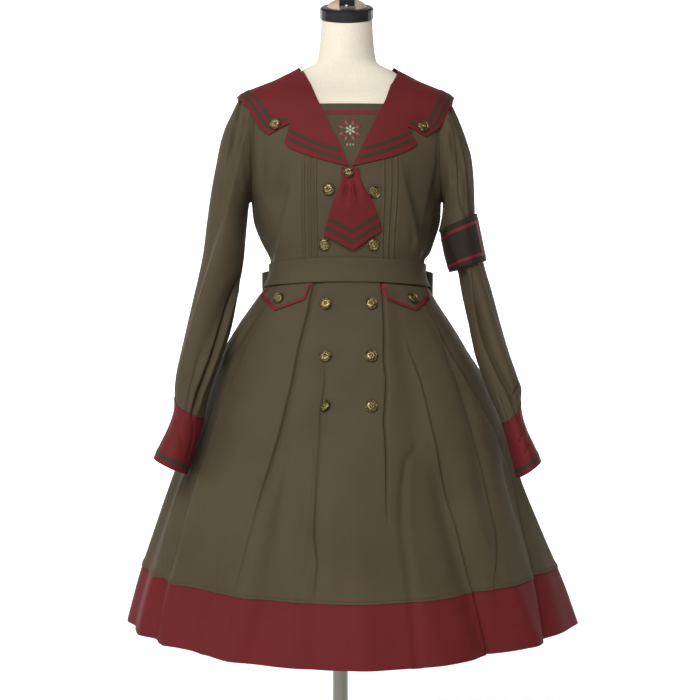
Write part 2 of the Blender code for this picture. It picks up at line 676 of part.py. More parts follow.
def bodice_front(finish):
    """Bodice front: two halves that share the middle line below the V, with raised pintucks."""
    faces = []
    for side, name in ((-1, "left"), (1, "right")):
        spread, tops = tuck_columns(name, V_POINT)
        shares = (spread - spread[0]) / (spread[-1] - spread[0])
        angles = []
        lifts = []
        for height in BODICE_HEIGHTS:
            lines = tuck_columns(name, height)[0] if height <= V_POINT else None
            if height > V_POINT:
                first = side * figure_angle(read(V_EDGE, name, height), height)
                lines = first + (bodice_limit(height, "front") - first) * shares
            shown = ease(1.009, 1.015, height) * (1 - ease(1.160, 1.178, height))
            angles.append(side * lines[::side])
            lifts.append(tops[::side] * shown * TUCK_HEIGHT)
        heights = np.array(BODICE_HEIGHTS)[:, None]
        outer = lifted(figure_point, np.array(angles), heights, np.array(lifts))
        inner = lifted(figure_point, np.array(angles), heights, -CLOTH)
        faces += wall(outer, inner)
    return solid("bodice_front", faces, finish)


def bodice_back(finish):
    """Bodice back, from the waist seam to the shoulder seams and the back of the neck."""
    shares = np.array([-1, -0.88, -0.68, -0.46, -0.22, 0, 0.22, 0.46, 0.68, 0.88, 1])
    angles = []
    for height in BODICE_HEIGHTS:
        angles.append(math.pi - shares[::-1] * bodice_limit(height, "back"))
    heights = np.array(BODICE_HEIGHTS)[:, None]
    outer = lifted(figure_point, np.array(angles), heights, 0.0)
    inner = lifted(figure_point, np.array(angles), heights, -CLOTH)
    return solid("bodice_back", wall(outer, inner), finish)


def collar(finish):
    """Collar: two lapels and two front flaps that run over the shoulders into one back flap."""
    faces = []
    for side, name in ((-1, "left"), (1, "right")):
        rows = []
        flap = FRONT_FLAPS[name]
        for row in FLAP_ROWS:
            rows.append(flap_row(flap, side, row))
        angles = np.array([[place[0] for place in row] for row in rows])
        heights = np.array([[place[1] for place in row] for row in rows])
        lifts = collar_lift(angles, heights)
        faces += collar_wall(angles, heights, lifts, side)
        lapel = LAPELS[name]
        angles = []
        heights = []
        for row in LAPEL_ROWS:
            ends = [read(lapel, column, row) for column in ("inner_x", "inner_z", "outer_x", "outer_z")]
            start = side * figure_angle(side * ends[0], ends[1])
            end = side * figure_angle(side * ends[2], ends[3])
            angles.append([side * (start + (end - start) * share) for share in NECK_SHARES])
            heights.append([ends[1] + (ends[3] - ends[1]) * share for share in NECK_SHARES])
        angles = np.array(angles)
        heights = np.array(heights)
        faces += collar_wall(angles, heights, collar_lift(angles, heights), side)
    return solid("collar", faces, finish)


def flap_row(flap, side, row):
    """Angles and heights across one row of a flap, from the neck through the notch's line."""
    corners = []
    for place in ("inner", "notch", "outer"):
        keys = np.concatenate([flap["key"], BACK_FLAP["key"]])
        front = side * figure_angle(side * flap[place + "_x"], flap[place + "_z"])
        turns = np.concatenate([front, np.radians(BACK_FLAP[place + "_angle"])])
        levels = np.concatenate([flap[place + "_z"], BACK_FLAP[place + "_z"]])
        joined = {"key": keys, "turn": turns, "level": levels}
        corners.append((float(read(joined, "turn", row)), float(read(joined, "level", row))))
    places = []
    for share in NECK_SHARES:
        places.append([a + (b - a) * share for a, b in zip(corners[0], corners[1])])
    for share in EDGE_SHARES:
        places.append([a + (b - a) * share for a, b in zip(corners[1], corners[2])])
    return [(side * turn, level) for turn, level in places]


def collar_lift(angles, heights):
    """Room under the collar: it rises over the armhole seams at the shoulders."""
    across = np.abs(np.sin(angles)) * read(FIGURE, "half_width", heights)
    ridge = COLLAR_RIDGE_LIFT * ease(1.235, 1.262, heights)
    behind = COLLAR_BACK_LIFT * (1 - ease(-0.2, 0.1, np.cos(angles)))
    down = 1 - 0.8 * ease(1.266, 1.286, heights)
    return LAYER_GAP + ridge + (COLLAR_SLEEVE_LIFT + behind) * down * ease(0.120, 0.165, across)


def collar_wall(angles, heights, lifts, side):
    """A collar block as a wall on the figure; rows run up, columns away from the neck."""
    outer = lifted(figure_point, angles, heights, lifts + FIRM_CLOTH)
    inner = lifted(figure_point, angles, heights, lifts)
    if side < 0:
        outer = outer[:, ::-1]
        inner = inner[:, ::-1]
    return wall(outer, inner)


def dickey(finish):
    """Dickey: the inset behind the V, tucked under the bodice on both sides."""
    rows = []
    for height in DICKEY_HEIGHTS:
        level = max(height, V_POINT + 0.002)
        left = figure_angle(read(V_EDGE, "left", level) - DICKEY_LAP, height)
        right = figure_angle(read(V_EDGE, "right", level) + DICKEY_LAP, height)
        rows.append(np.linspace(left, right, DICKEY_COLUMNS))
    angles = np.array(rows)
    heights = np.array(DICKEY_HEIGHTS)[:, None]
    outer = lifted(figure_point, angles, heights, -CLOTH - DICKEY_GAP)
    inner = lifted(figure_point, angles, heights, -2 * CLOTH - DICKEY_GAP)
    return solid("dickey", wall(outer, inner), finish)


def tie_bottom(share):
    """Height of the tie's lower edge across its width."""
    left = TIE_LEFT_CORNER + (TIE_TIP - TIE_LEFT_CORNER) * share / TIE_TIP_SHARE
    right = TIE_TIP + (TIE_RIGHT_CORNER - TIE_TIP) * (share - TIE_TIP_SHARE) / (1 - TIE_TIP_SHARE)
    return np.where(share < TIE_TIP_SHARE, left, right)


def tie_lift(share, drop):
    """The tie stands off the bodice and has creases below the button."""
    crown = TIE_LIFT * ease(0.0, 0.5, drop) * np.sin(math.pi * share) ** 0.8
    crease = 0.0016 * np.cos(5 * math.pi * (share - 0.5)) * ease(0.12, 0.3, drop)
    return LAYER_GAP + 0.0004 + crown + crease * (1 - ease(0.3, 0.6, drop)) + 0.001 * ease(0, 0.3, drop)


def tie(finish):
    """Tie: a narrow top under the collar's point that widens to a pointed blade."""
    shares = np.array([0, 0.1, 0.25, TIE_TIP_SHARE, 0.75, 0.9, 1.0])[None, :]
    drops = np.array([0, 0.08, 0.16, 0.25, 0.36, 0.52, 0.68, 0.84, 1.0])[::-1, None]
    heights = TIE_TOP + (tie_bottom(shares) - TIE_TOP) * drops
    left = read(TIE, "left", drops)
    x = left + (read(TIE, "right", drops) - left) * shares
    angles = figure_angle(x, heights)
    lifts = tie_lift(*np.broadcast_arrays(shares, drops))
    outer = lifted(figure_point, angles, heights, lifts + CLOTH)
    inner = lifted(figure_point, angles, heights, lifts)
    return solid("tie", wall(outer, inner), finish)


def waistband_height(share, angle):
    """Height in the waistband from its lower edge (0) to its upper edge (1)."""
    height = WAISTBAND_BOTTOM + (WAISTBAND_TOP - WAISTBAND_BOTTOM) * share
    return height - WAISTBAND_SIDE_DROP * np.sin(angle) ** 2


def waistband(name, first, last, finish):
    """One half of the waistband, over the seam of bodice and skirt."""
    gap = math.degrees(half_seam(WAIST_SEAM))
    angles = np.radians(np.linspace(first + gap, last - gap, 21))[None, :]
    shares = np.array([0.0, 0.5, 1.0])[:, None]
    heights = waistband_height(shares, angles)
    outer = lifted(figure_point, angles, heights, LAYER_GAP + WAISTBAND_CLOTH)
    inner = lifted(figure_point, angles, heights, LAYER_GAP)
    return solid(name, wall(outer, inner), finish)


def skirt_panel(name, first, last, columns, drops, thickness, finish):
    """A panel of the skirt or of its hem band, between two angles in degrees."""
    drops = np.array(drops)[::-1, None]
    turns = np.radians(np.linspace(first, last, columns))[None, :]
    gap = 0.5 * SEAM / read(SKIRT, "half_width", drops)
    share = np.linspace(1, -1, columns)[None, :]
    angles = turns + gap * share
    outer = lifted(skirt_point, angles, drops, 0.0)
    inner = lifted(skirt_point, angles, drops, -thickness)
    return solid(name, wall(outer, inner), finish)


def pocket_flap(name, side, finish):
    """Pocket flap: a pointed tab that hangs from the waistband over the skirt."""
    turns = np.linspace(POCKET_EDGE["angle"][0], POCKET_EDGE["angle"][-1], POCKET_COLUMNS)
    bottoms = read(POCKET_EDGE, "bottom", turns)
    angles = np.radians(turns)[None, :]
    tops = waistband_height(0.0, angles) - POCKET_DROP
    shares = np.array([0, 0.34, 0.67, 1.0])[:, None]
    heights = bottoms[None, :] + (tops - bottoms[None, :]) * shares
    drops = skirt_drop(angles, heights)
    angles = side * angles
    if side < 0:
        angles = angles[:, ::-1]
        drops = drops[:, ::-1]
    outer = lifted(skirt_point, angles, drops, POCKET_LIFT + FIRM_CLOTH)
    inner = lifted(skirt_point, angles, drops, POCKET_LIFT)
    return solid(name, wall(outer, inner), finish)


def armhole_point(side, turn, lift):
    """Point of the armhole's edge; turn 0 is its top and 90 degrees its front."""
    height = ARMHOLE_MIDDLE + ARMHOLE_REACH * np.cos(turn)
    centre = read(FIGURE, "centre", height)
    front_angle = figure_angle(centre + read(ARMHOLE, "front", height), height)
    back_angle = math.pi - figure_angle(centre + read(ARMHOLE, "back", height), height)
    angle = side * np.where(np.sin(turn) >= 0, front_angle, back_angle)
    return lifted(figure_point, angle, height, lift)


def ring_point(source, turn, station):
    """Point of a flattened ring of a sleeve; turn 0 is its outer side and 90 degrees its front."""
    outer = np.stack([read(source, "outer_x", station), 0 * station,
                      read(source, "outer_z", station)], -1)
    inner = np.stack([read(source, "inner_x", station), 0 * station,
                      read(source, "inner_z", station)], -1)
    middle = 0.5 * (outer + inner)
    middle[..., 1] = read(source, "y", station)
    depth = np.stack([0 * station, -read(source, "half_depth", station), 0 * station], -1)
    reach = 0.5 * (outer - inner)
    return middle + reach * np.cos(turn)[..., None] + depth * np.sin(turn)[..., None]


def sleeve_relief(name, turn, station):
    """How far the sleeve's folds push it out or in."""
    folds = SLEEVE_FOLDS[name]
    relief = np.zeros(np.shape(turn))
    rows = zip(*[folds[column] for column in FOLD_COLUMNS.split()])
    for turn_start, turn_end, start, end, width, depth in rows:
        share = np.clip((station - start) / (end - start), 0, 1)
        line = np.radians(turn_start + (turn_end - turn_start) * share)
        away = wrapped(turn - line)
        shown = ease(start, start + 0.08, station) * (1 - ease(end - 0.08, end, station))
        relief = relief + depth * shown * np.exp(-(away / math.radians(width)) ** 2)
    return relief


def sleeve_point(name, turn, station):
    """Point on the sleeve's outer face, from the armhole to the cuff's lower edge."""
    turn, station = np.broadcast_arrays(turn, station)
    side = -1 if name == "left" else 1
    source = SLEEVES[name]
    ring = ring_point(source, turn, station)
    first = ring_point(source, turn, 0 * station)
    away = armhole_point(side, turn, 0.0) - first
    blended = ring + away * (1 - ease(0.0, CAP_END, station))[..., None]
    middle = ring_point(source, turn, station) - ring_point(source, turn + math.pi, station)
    out = middle / np.linalg.norm(middle, axis=-1, keepdims=True)
    return blended + out * sleeve_relief(name, turn, station)[..., None]


def tube_normals(points):
    """Outward unit normals of a closed tube of rings."""
    along = np.roll(points, -1, 1) - np.roll(points, 1, 1)
    up = np.gradient(points, axis=0)
    normal = np.cross(along, up)
    normal = normal / np.linalg.norm(normal, axis=-1, keepdims=True)
    middle = points.mean(axis=1, keepdims=True)
    facing = ((points - middle) * normal).sum((0, 1, 2))
    return normal * np.sign(facing)


def cuff_seam(turn):
    """Station of the seam between sleeve and cuff, higher at the cuff's outer point."""
    away = wrapped(turn)
    return CUFF_TOP - CUFF_POINT * np.exp(-(away / CUFF_POINT_WIDTH) ** 2)


def sleeve(name, finish):
    """One sleeve, open at the armhole and at the cuff."""
    side = -1 if name == "left" else 1
    turns = ARMHOLE_TURNS[None, :]
    shares = np.array(SLEEVE_STATIONS)[:, None] / SLEEVE_STATIONS[-1]
    outer = sleeve_point(name, turns, shares * cuff_seam(turns))
    edge = outer[0].copy()
    band = outer[1] - edge
    outer[0] = edge + band / np.linalg.norm(band, axis=-1, keepdims=True) * SLEEVE_GAP
    normals = tube_normals(outer)
    bodice_normal = armhole_point(side, turns[0], 1.0) - edge
    share = ease(-0.9, -0.3, np.cos(turns[0]))[:, None]
    joined = bodice_normal * share + normals[0] * (1 - share)
    normals[0] = joined / np.linalg.norm(joined, axis=-1, keepdims=True)
    inner = outer - normals * CLOTH
    return solid("sleeve_" + name, wall(outer, inner, closed=True), finish)


def cuff(name, finish):
    """One cuff: a firm band round the end of the sleeve."""
    turns = ARMHOLE_TURNS[None, :]
    shares = np.array([0.0, 0.35, 0.7, 1.0])[:, None]
    start = cuff_seam(turns) + CUFF_SEAM
    stations = start + (1.0 - start) * shares
    middle = sleeve_point(name, turns, stations)
    normals = tube_normals(middle)
    outer = middle + normals * CUFF_LIFT
    inner = outer - normals * CUFF_CLOTH
    return solid("cuff_" + name, wall(outer, inner, closed=True), finish)


def armband(finish):
    """Armband: a loose ring round the upper part of the right sleeve."""
    turns, stations = np.broadcast_arrays(ARMHOLE_TURNS[None, :], np.array([0.0, 0.5, 1.0])[:, None])
    outer = ring_point(ARMBAND, turns, stations)
    inner = outer - tube_normals(outer) * FIRM_CLOTH
    return solid("armband", wall(outer, inner, closed=True), finish)


def bow_loop(name, side, finish):
    """Bow loop: a strip that runs out from the knot, round a soft tip and back."""
    turns = np.linspace(-math.pi / 2, math.pi / 2, 9)
    near = KNOT_WIDTH * LOOP_SEAT + SEAM
    straight = np.linspace(near, LOOP_TIP - LOOP_DEPTH * 0.5, 5)[:-1]
    route = [(x, 0.0) for x in straight]
    for turn in turns:
        x = LOOP_TIP - LOOP_DEPTH * 0.5 + LOOP_DEPTH * 0.5 * math.cos(turn)
        route.append((x, LOOP_DEPTH * 0.5 * (1 + math.sin(turn))))
    route += [(x, LOOP_DEPTH) for x in straight[::-1]]
    route = np.array(route)
    share = (route[:, 0] - near) / (LOOP_TIP - near)
    pinch = ease(0.0, 0.6, share)
    y = 0.5 * LOOP_DEPTH + (route[:, 1] - 0.5 * LOOP_DEPTH) * (0.35 + 0.65 * pinch)
    width = LOOP_ROOT_WIDTH + (LOOP_WIDTH - LOOP_ROOT_WIDTH) * pinch
    levels = np.linspace(-0.5, 0.5, 4)[:, None]
    x = side * route[:, 0][None, :] + 0 * levels
    height = BOW_HEIGHT - 0.022 * share[None, :] ** 1.5 + width[None, :] * levels
    curl = 0.004 * np.abs(levels) * 2 * share[None, :]
    depth = BOW_Y + y[None, :] + 0.012 * share[None, :] ** 2 - curl
    outer = np.stack([BOW_X + x, depth, height], -1)
    along = np.gradient(outer, axis=1)
    up = np.gradient(outer, axis=0)
    normal = np.cross(along, up)
    normal = normal / np.linalg.norm(normal, axis=-1, keepdims=True)
    inner = outer - side * normal * CLOTH
    return solid(name, wall(outer, inner), finish)


def bow_knot(finish):
    """Knot of the bow: a rounded band in the middle."""
    rings = []
    turns = np.arange(14) * 2 * math.pi / 14
    for level, size in ((-0.5, 0.80), (-0.3, 0.97), (0.0, 1.0), (0.3, 0.97), (0.5, 0.80)):
        x = BOW_X + KNOT_WIDTH * 0.5 * 0.98 * size * np.cos(turns)
        y = BOW_Y + 0.5 * LOOP_DEPTH + KNOT_DEPTH * 0.5 * size * np.sin(turns)
        rings.append(np.stack([x, y, np.full(14, BOW_HEIGHT + KNOT_HEIGHT * level)], -1))
    return solid("bow_knot", capped(rings), finish)


def bow_tail(name, side, finish):
    """Bow tail: a strip that hangs from the knot over the back of the skirt."""
    drops = np.linspace(TAIL_START, TAIL_DROP, 10)[::-1, None]
    share = (drops - TAIL_START) / (TAIL_DROP - TAIL_START)
    middle = math.pi - side * np.radians(5.0 + 12.5 * share ** 0.8)
    half_width = 0.010 + 0.020 * ease(0.0, 0.35, share)
    across = np.linspace(-1, 1, 5)[None, :]
    spread = half_width / read(SKIRT, "half_width", drops)
    angles = middle - across * spread
    slant = 0.022 * share * across * side
    lifts = TAIL_LIFT + 0.003 * np.cos(across * 1.5) * share + 0.002 * np.sin(5 * share) ** 2
    outer = lifted(skirt_point, angles[:, ::-1], drops + slant[:, ::-1], lifts + CLOTH)
    inner = lifted(skirt_point, angles[:, ::-1], drops + slant[:, ::-1], lifts)
    return solid(name, wall(outer, inner), finish)


def form_torso(finish):
    """Form: one smooth closed body from below the hips to the top of the neck."""
    turns = np.arange(FORM_SIDES) * 2 * math.pi / FORM_SIDES
    rings = []
    for height in FORM_HIPS["key"][:-1]:
        sizes = [read(FORM_HIPS, name, height) for name in ("half_width", "front", "back", "centre")]
        x, y = section(turns, *sizes, FIGURE_POWER)
        rings.append(np.stack([x, y, np.full(FORM_SIDES, height)], -1))
    for height in (0.958, 0.990, 1.015, 1.043, 1.080, 1.115, 1.156, 1.200, 1.240, 1.264, 1.278,
                   1.287, 1.292, 1.300, 1.3085, 1.318, 1.328):
        half = read(FIGURE, "half_width", height) - read(FORM_ROOM, "side", height)
        front = read(FIGURE, "front", height) - read(FORM_ROOM, "front", height)
        back = read(FIGURE, "back", height) - read(FORM_ROOM, "back", height)
        x, y = section(turns, half, front, back, read(FIGURE, "centre", height), FIGURE_POWER)
        rings.append(np.stack([x, y, np.full(FORM_SIDES, height)], -1))
    for height in FORM_NECK["key"]:
        rings.append(neck_ring(turns, height))
    return solid("form_torso", capped(rings), finish)


def neck_ring(turns, height):
    """One ring of the neck, which leans forward towards its top."""
    x = read(FORM_NECK, "centre", height) + read(FORM_NECK, "half_width", height) * np.sin(turns)
    depth = -read(FORM_NECK, "half_depth", height) * np.cos(turns)
    y = read(FORM_NECK, "centre_y", height) + depth
    return np.stack([x, y, height + read(FORM_NECK, "lean", height) * depth], -1)


def neck_frame():
    """Middle of the neck's top and the direction that it faces."""
    lean = FORM_NECK["lean"][-1]
    middle = np.array([FORM_NECK["centre"][-1], FORM_NECK["centre_y"][-1], FORM_NECK["height"][-1]])
    axis = np.array([0.0, -lean, 1.0])
    return middle, axis / np.linalg.norm(axis)


def neck_cap(black, wood):
    """Neck cap with its dome and the strap over the dome."""
    middle, axis = neck_frame()
    rim = CAP_HEIGHT + SEAM
    profile = [(CAP_RADIUS, SEAM), (CAP_RADIUS, rim - CAP_BEVEL), (CAP_RADIUS - CAP_BEVEL, rim)]
    solid("form_neck_cap", placed(turned(profile, 28), middle, axis), black)
    seat = middle + axis * (rim + SEAM)
    profile = [(DOME_RADIUS * math.cos(turn), DOME_HEIGHT * math.sin(turn))
               for turn in np.radians([0, 25, 50, 72])]
    solid("form_cap_dome", placed(turned(profile, 24), seat, axis), wood)
    across = np.array([1.0, 0.0, 0.0])
    along = np.cross(axis, across)
    outer = []
    inner = []
    for turn in np.radians(np.linspace(10, 170, 13)):
        low = DOME_RADIUS * math.cos(turn) * 1.02 * along + DOME_HEIGHT * math.sin(turn) * axis
        out = math.cos(turn) * along + math.sin(turn) * axis
        for rows, rise in ((inner, 0.0008), (outer, 0.0008 + STRAP_THICKNESS)):
            place = seat + low + out * rise
            rows.append([place - across * STRAP_WIDTH / 2, place + across * STRAP_WIDTH / 2])
    solid("form_cap_strap", wall(np.array(outer), np.array(inner)), black)


def pole_and_base(metal, base_finish):
    """Pole under the form and the round base with its socket."""
    origin = np.array([POLE_X, 0.0, 0.0])
    up = (0.0, 0.0, 1.0)
    bottom = BASE_THICKNESS + 0.004
    profile = [(POLE_RADIUS, bottom), (POLE_RADIUS, FORM_HIPS["height"][0] - SEAM)]
    solid("form_pole", placed(turned(profile, 20), origin, up), metal)
    profile = [(BASE_RADIUS, 0.0), (BASE_RADIUS, BASE_THICKNESS - 0.004),
               (BASE_RADIUS - 0.006, BASE_THICKNESS), (SOCKET_RADIUS, BASE_THICKNESS + 0.004),
               (SOCKET_RADIUS, SOCKET_HEIGHT), (POLE_RADIUS + SEAM, SOCKET_HEIGHT),
               (POLE_RADIUS + SEAM, bottom - SEAM)]
    solid("form_base", placed(turned(profile, 32), origin, up), base_finish)


def button(name, spot, out, radius, finish):
    """Domed button with a raised rim, standing on its shank just clear of the cloth."""
    profile = [(0.45 * radius, 0.0), (radius, 0.0012), (radius, 0.0024),
               (0.50 * radius, BUTTON_HEIGHT)]
    return solid(name, placed(turned(profile, BUTTON_SIDES), spot, out), finish)


def seat_on(surface, angle, level, lift):
    """A point on a lifted surface and the direction that faces out of it."""
    low = lifted(surface, np.array(angle), np.array(level), np.array(lift))
    high = lifted(surface, np.array(angle), np.array(level), np.array(lift + 0.01))
    return low, high - low


def buttons(finish):
    """Fifteen buttons, each seated on the piece that carries it."""
    gap = SEAM + 0.0002
    collar_top = LAYER_GAP + FIRM_CLOTH + gap
    spots = [("button_tie", -0.0041, 1.1440, SMALL_BUTTON_RADIUS, LAYER_GAP + CLOTH + 0.0013),
             ("button_collar_left", -0.1236, 1.2290, SMALL_BUTTON_RADIUS, collar_top),
             ("button_collar_right", 0.1146, 1.2236, SMALL_BUTTON_RADIUS, collar_top),
             ("button_bodice_upper_left", -0.0359, 1.1174, BUTTON_RADIUS, gap),
             ("button_bodice_upper_right", 0.0377, 1.1129, BUTTON_RADIUS, gap),
             ("button_bodice_lower_left", -0.0433, 1.0310, BUTTON_RADIUS, gap),
             ("button_bodice_lower_right", 0.0351, 1.0303, BUTTON_RADIUS, gap)]
    for name, x, height, radius, lift in spots:
        spot, out = seat_on(figure_point, figure_angle(x, height), height, lift)
        button(name, spot, out, radius, finish)
    for row, height in enumerate((0.934, 0.850, 0.7715)):
        for side, x in (("left", -0.0405), ("right", 0.0310)):
            drop = skirt_drop(0.0, height)
            share = (x - read(SKIRT, "centre", drop)) / read(SKIRT, "half_width", drop)
            spot, out = seat_on(skirt_point, math.asin(share), drop, gap + 0.0003)
            button(f"button_skirt_{row + 1}_{side}", spot, out, BUTTON_RADIUS, finish)
    for side, name in ((-1, "left"), (1, "right")):
        angle = math.radians(45.0)
        drop = skirt_drop(angle, 0.9425)
        lift = POCKET_LIFT + FIRM_CLOTH + gap + 0.0003
        spot, out = seat_on(skirt_point, side * angle, drop, lift)
        button(f"button_pocket_{name}", spot, out, POCKET_BUTTON_RADIUS, finish)


def build():
    """Every piece of the dress and of the form it stands on."""
    for item in list(bpy.data.objects):
        bpy.data.objects.remove(item, do_unlink=True)
    olive = material("olive twill", (0.105, 0.084, 0.052), 0.85)
    burgundy = material("burgundy twill", (0.170, 0.022, 0.026), 0.80)
    black = material("armband twill", (0.030, 0.022, 0.018), 0.85)
    brass = material("antique brass", (0.300, 0.220, 0.090), 0.40, 1.0)
    linen = material("form linen", (0.780, 0.720, 0.600), 0.90)
    plastic = material("black cap", (0.010, 0.010, 0.011), 0.35)
    wood = material("cap dome", (0.560, 0.480, 0.380), 0.50)
    steel = material("pole steel", (0.320, 0.310, 0.280), 0.35, 1.0)
    enamel = material("base enamel", (0.060, 0.060, 0.060), 0.45, 0.3)
    form_torso(linen)
    neck_cap(plastic, wood)
    pole_and_base(steel, enamel)
    bodice_front(olive)
    bodice_back(olive)
    dickey(olive)
    collar(burgundy)
    tie(burgundy)
    waistband("waistband_front", -90, 90, olive)
    waistband("waistband_back", 90, 270, olive)
    upper = [0.0008, 0.04, 0.09, 0.15, 0.22, 0.33, 0.45, 0.58, 0.71, BAND_SHARE]
    lower = [BAND_SHARE + 0.0008, 0.92, 1.0]
    skirt_panel("skirt_front", -90, 90, 43, upper, CLOTH, olive)
    skirt_panel("skirt_back", 90, 270, 35, upper, CLOTH, olive)
    skirt_panel("hem_band_front", -90, 90, 43, lower, FIRM_CLOTH, burgundy)
    skirt_panel("hem_band_back", 90, 270, 35, lower, FIRM_CLOTH, burgundy)
    pocket_flap("pocket_flap_left", -1, olive)
    pocket_flap("pocket_flap_right", 1, olive)
    for name in ("left", "right"):
        sleeve(name, olive)
        cuff(name, burgundy)
    armband(black)
    bow_loop("bow_loop_left", -1, olive)
    bow_loop("bow_loop_right", 1, olive)
    bow_knot(olive)
    bow_tail("bow_tail_left", -1, olive)
    bow_tail("bow_tail_right", 1, olive)
    buttons(brass)


build()
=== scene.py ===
# %% [markdown]
# # A military style dress on a dress form
#
# The dress is olive twill with a wide burgundy sailor collar, tie, cuffs and hem band, and
# fifteen antique brass buttons. It hangs on a linen-covered form that has no arms or legs.
# We build every cloth piece as a thin wall between two grids of points. The outer grid lies
# on a surface of the clothed figure that we can evaluate anywhere, so a pleat, a tape or a
# row of stitches always knows exactly where the cloth is.

import math

import bpy
import numpy as np
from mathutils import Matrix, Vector


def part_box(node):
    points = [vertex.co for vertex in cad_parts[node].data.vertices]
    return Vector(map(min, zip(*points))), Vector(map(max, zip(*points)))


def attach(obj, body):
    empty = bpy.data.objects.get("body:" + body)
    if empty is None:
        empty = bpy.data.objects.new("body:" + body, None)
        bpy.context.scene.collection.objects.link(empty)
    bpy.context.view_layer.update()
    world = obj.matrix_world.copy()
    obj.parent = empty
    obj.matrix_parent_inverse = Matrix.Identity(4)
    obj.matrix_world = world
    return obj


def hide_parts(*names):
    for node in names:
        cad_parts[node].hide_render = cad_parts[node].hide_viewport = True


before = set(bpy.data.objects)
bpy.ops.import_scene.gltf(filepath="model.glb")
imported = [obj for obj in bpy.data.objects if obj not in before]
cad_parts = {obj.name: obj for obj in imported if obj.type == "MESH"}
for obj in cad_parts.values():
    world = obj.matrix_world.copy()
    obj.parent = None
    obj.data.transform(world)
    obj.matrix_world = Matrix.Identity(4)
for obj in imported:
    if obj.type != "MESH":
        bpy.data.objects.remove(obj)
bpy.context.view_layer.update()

# %% [markdown]
# ## Reading sizes from short tables
#
# A dressmaker writes a few measures at a few heights and draws a smooth curve through them.
# We do the same: a table has named columns, and `read` follows a curve through the rows that
# never overshoots, so a waist stays the narrowest place between bust and hips.

# %% Tables and soft steps
MM = 0.001
PERCENT = 0.01
UNITS = {"mm": MM, "%": PERCENT, "": 1}


def table(header, rows):
    """A short table: its columns by name, as metres, shares or plain numbers; the first is the key."""
    named = {}
    for title, column in zip(header.split(), np.array(rows, float).T):
        name, _, unit_name = title.partition("/")
        named[name] = column * UNITS[unit_name]
        named.setdefault("key", named[name])
    return named


def read(source, name, at):
    """A column's value at a key, on a smooth curve through the rows that never overshoots."""
    keys = source["key"]
    values = source[name]
    steps = np.diff(keys)
    slopes = np.diff(values) / steps
    together = slopes[:-1] + slopes[1:]
    together = np.where(np.abs(together) < 1e-9, 1e-9, together)
    inner = np.where(slopes[:-1] * slopes[1:] > 0, 2 * slopes[:-1] * slopes[1:] / together, 0.0)
    tangents = np.concatenate([slopes[:1], inner, slopes[-1:]])
    at = np.clip(np.asarray(at, float), keys[0], keys[-1])
    row = np.clip(np.searchsorted(keys, at) - 1, 0, len(steps) - 1)
    step = steps[row]
    t = (at - keys[row]) / step
    start = (1 + 2 * t) * (1 - t) ** 2 * values[row] + t * (1 - t) ** 2 * step * tangents[row]
    end = t * t * (3 - 2 * t) * values[row + 1] - t * t * (1 - t) * step * tangents[row + 1]
    return start + end


def ease(low, high, at):
    """0 below the first value, 1 above the second, and a soft step between them."""
    t = np.clip((at - low) / (high - low), 0.0, 1.0)
    return t * t * (3 - 2 * t)


def measures(source, names, at):
    """Several columns of a table at one key."""
    return [read(source, name, at) for name in names.split()]


def rows_of(source, names):
    """The rows of a table, each with the columns that are named."""
    return zip(*[source[name] for name in names.split()])


def unit(vectors):
    """The same directions with length 1."""
    return vectors / np.linalg.norm(vectors, axis=-1, keepdims=True)


def row_of(first, last, count):
    """Even steps along one row of a grid."""
    return np.linspace(first, last, count)[None, :]


def column_of(first, last, count):
    """Even steps down one column of a grid."""
    return np.linspace(first, last, count)[:, None]


def turns_round(count):
    """Even turns once round, along one row of a grid."""
    return (np.arange(count) * 2 * math.pi / count)[None, :]


def wrapped(angle):
    """The same angle between minus and plus half a turn."""
    return (angle + math.pi) % (2 * math.pi) - math.pi


def bump(away, width):
    """A soft hill of height 1 at distance 0."""
    return np.exp(-(away / width) ** 2)


print("half way through a soft step:", float(ease(0, 1, 0.5)))

# %% [markdown]
# ## The clothed figure
#
# Bodice, collar, tie and waistband all lie on one surface: the clothed figure. A horizontal
# section of it is a little squarer than an ellipse, and its half width and its depths to the
# front and to the back come from a table by height. An angle of 0 is front centre, and a
# quarter turn is the side that is on the right in the picture.

# %% The figure's sizes
CLOTH = 0.0012
FIRM_CLOTH = 0.0015
LAYER_GAP = 0.0015
WAIST_SEAM = 0.990
UNDERARM = 1.108
SHOULDER_TIP = 1.290
FIGURE_POWER = 2.3
FIGURE = table("height/mm half_width/mm front/mm back/mm centre/mm", [
    (958, 141.5, 109.5, 96, -7),
    (975, 132.5, 106, 89, -6.5),
    (990, 128.5, 104, 85, -6),
    (1010, 129.5, 106, 87, -6),
    (1021, 135.8, 108, 89, -4),
    (1043, 145.8, 112, 93, -5.7),
    (1080, 157.2, 120, 101, -7),
    (1108, 159, 124, 105, -7.8),
    (1130, 162.5, 125, 108, -7.6),
    (1156, 168, 123.5, 110, -7.5),
    (1190, 177, 117, 111, -7.5),
    (1220, 183, 109, 110, -7.5),
    (1245, 186, 101, 106, -7.5),
    (1262, 184.5, 94, 101, -8.5),
    (1273, 180.7, 87, 95, -9.3),
    (1281, 174.8, 80, 88, -9.7),
    (1287, 165.5, 74, 82, -10),
    (1290, 158, 71, 79, -10),
    (1298, 140, 65, 72, -9.5),
    (1306, 120.8, 60.5, 66, -8.7),
    (1314.5, 104.5, 57, 61.5, -8),
    (1322, 89.3, 54.5, 58, -7.7),
    (1330.5, 75.5, 52.5, 55, -7.5),
    (1338, 64, 51, 53, -7.5),
])


def section(angle, half_width, front, back, centre, power):
    """Plan of a closed section: angle 0 is front centre and a right angle is the +X side."""
    sine = np.sin(angle)
    round_part = np.clip(1.0 - np.abs(sine) ** power, 0.0, 1.0) ** (1.0 / power)
    depth = np.where(np.cos(angle) > 0, -front, back)
    return centre + half_width * sine, depth * round_part


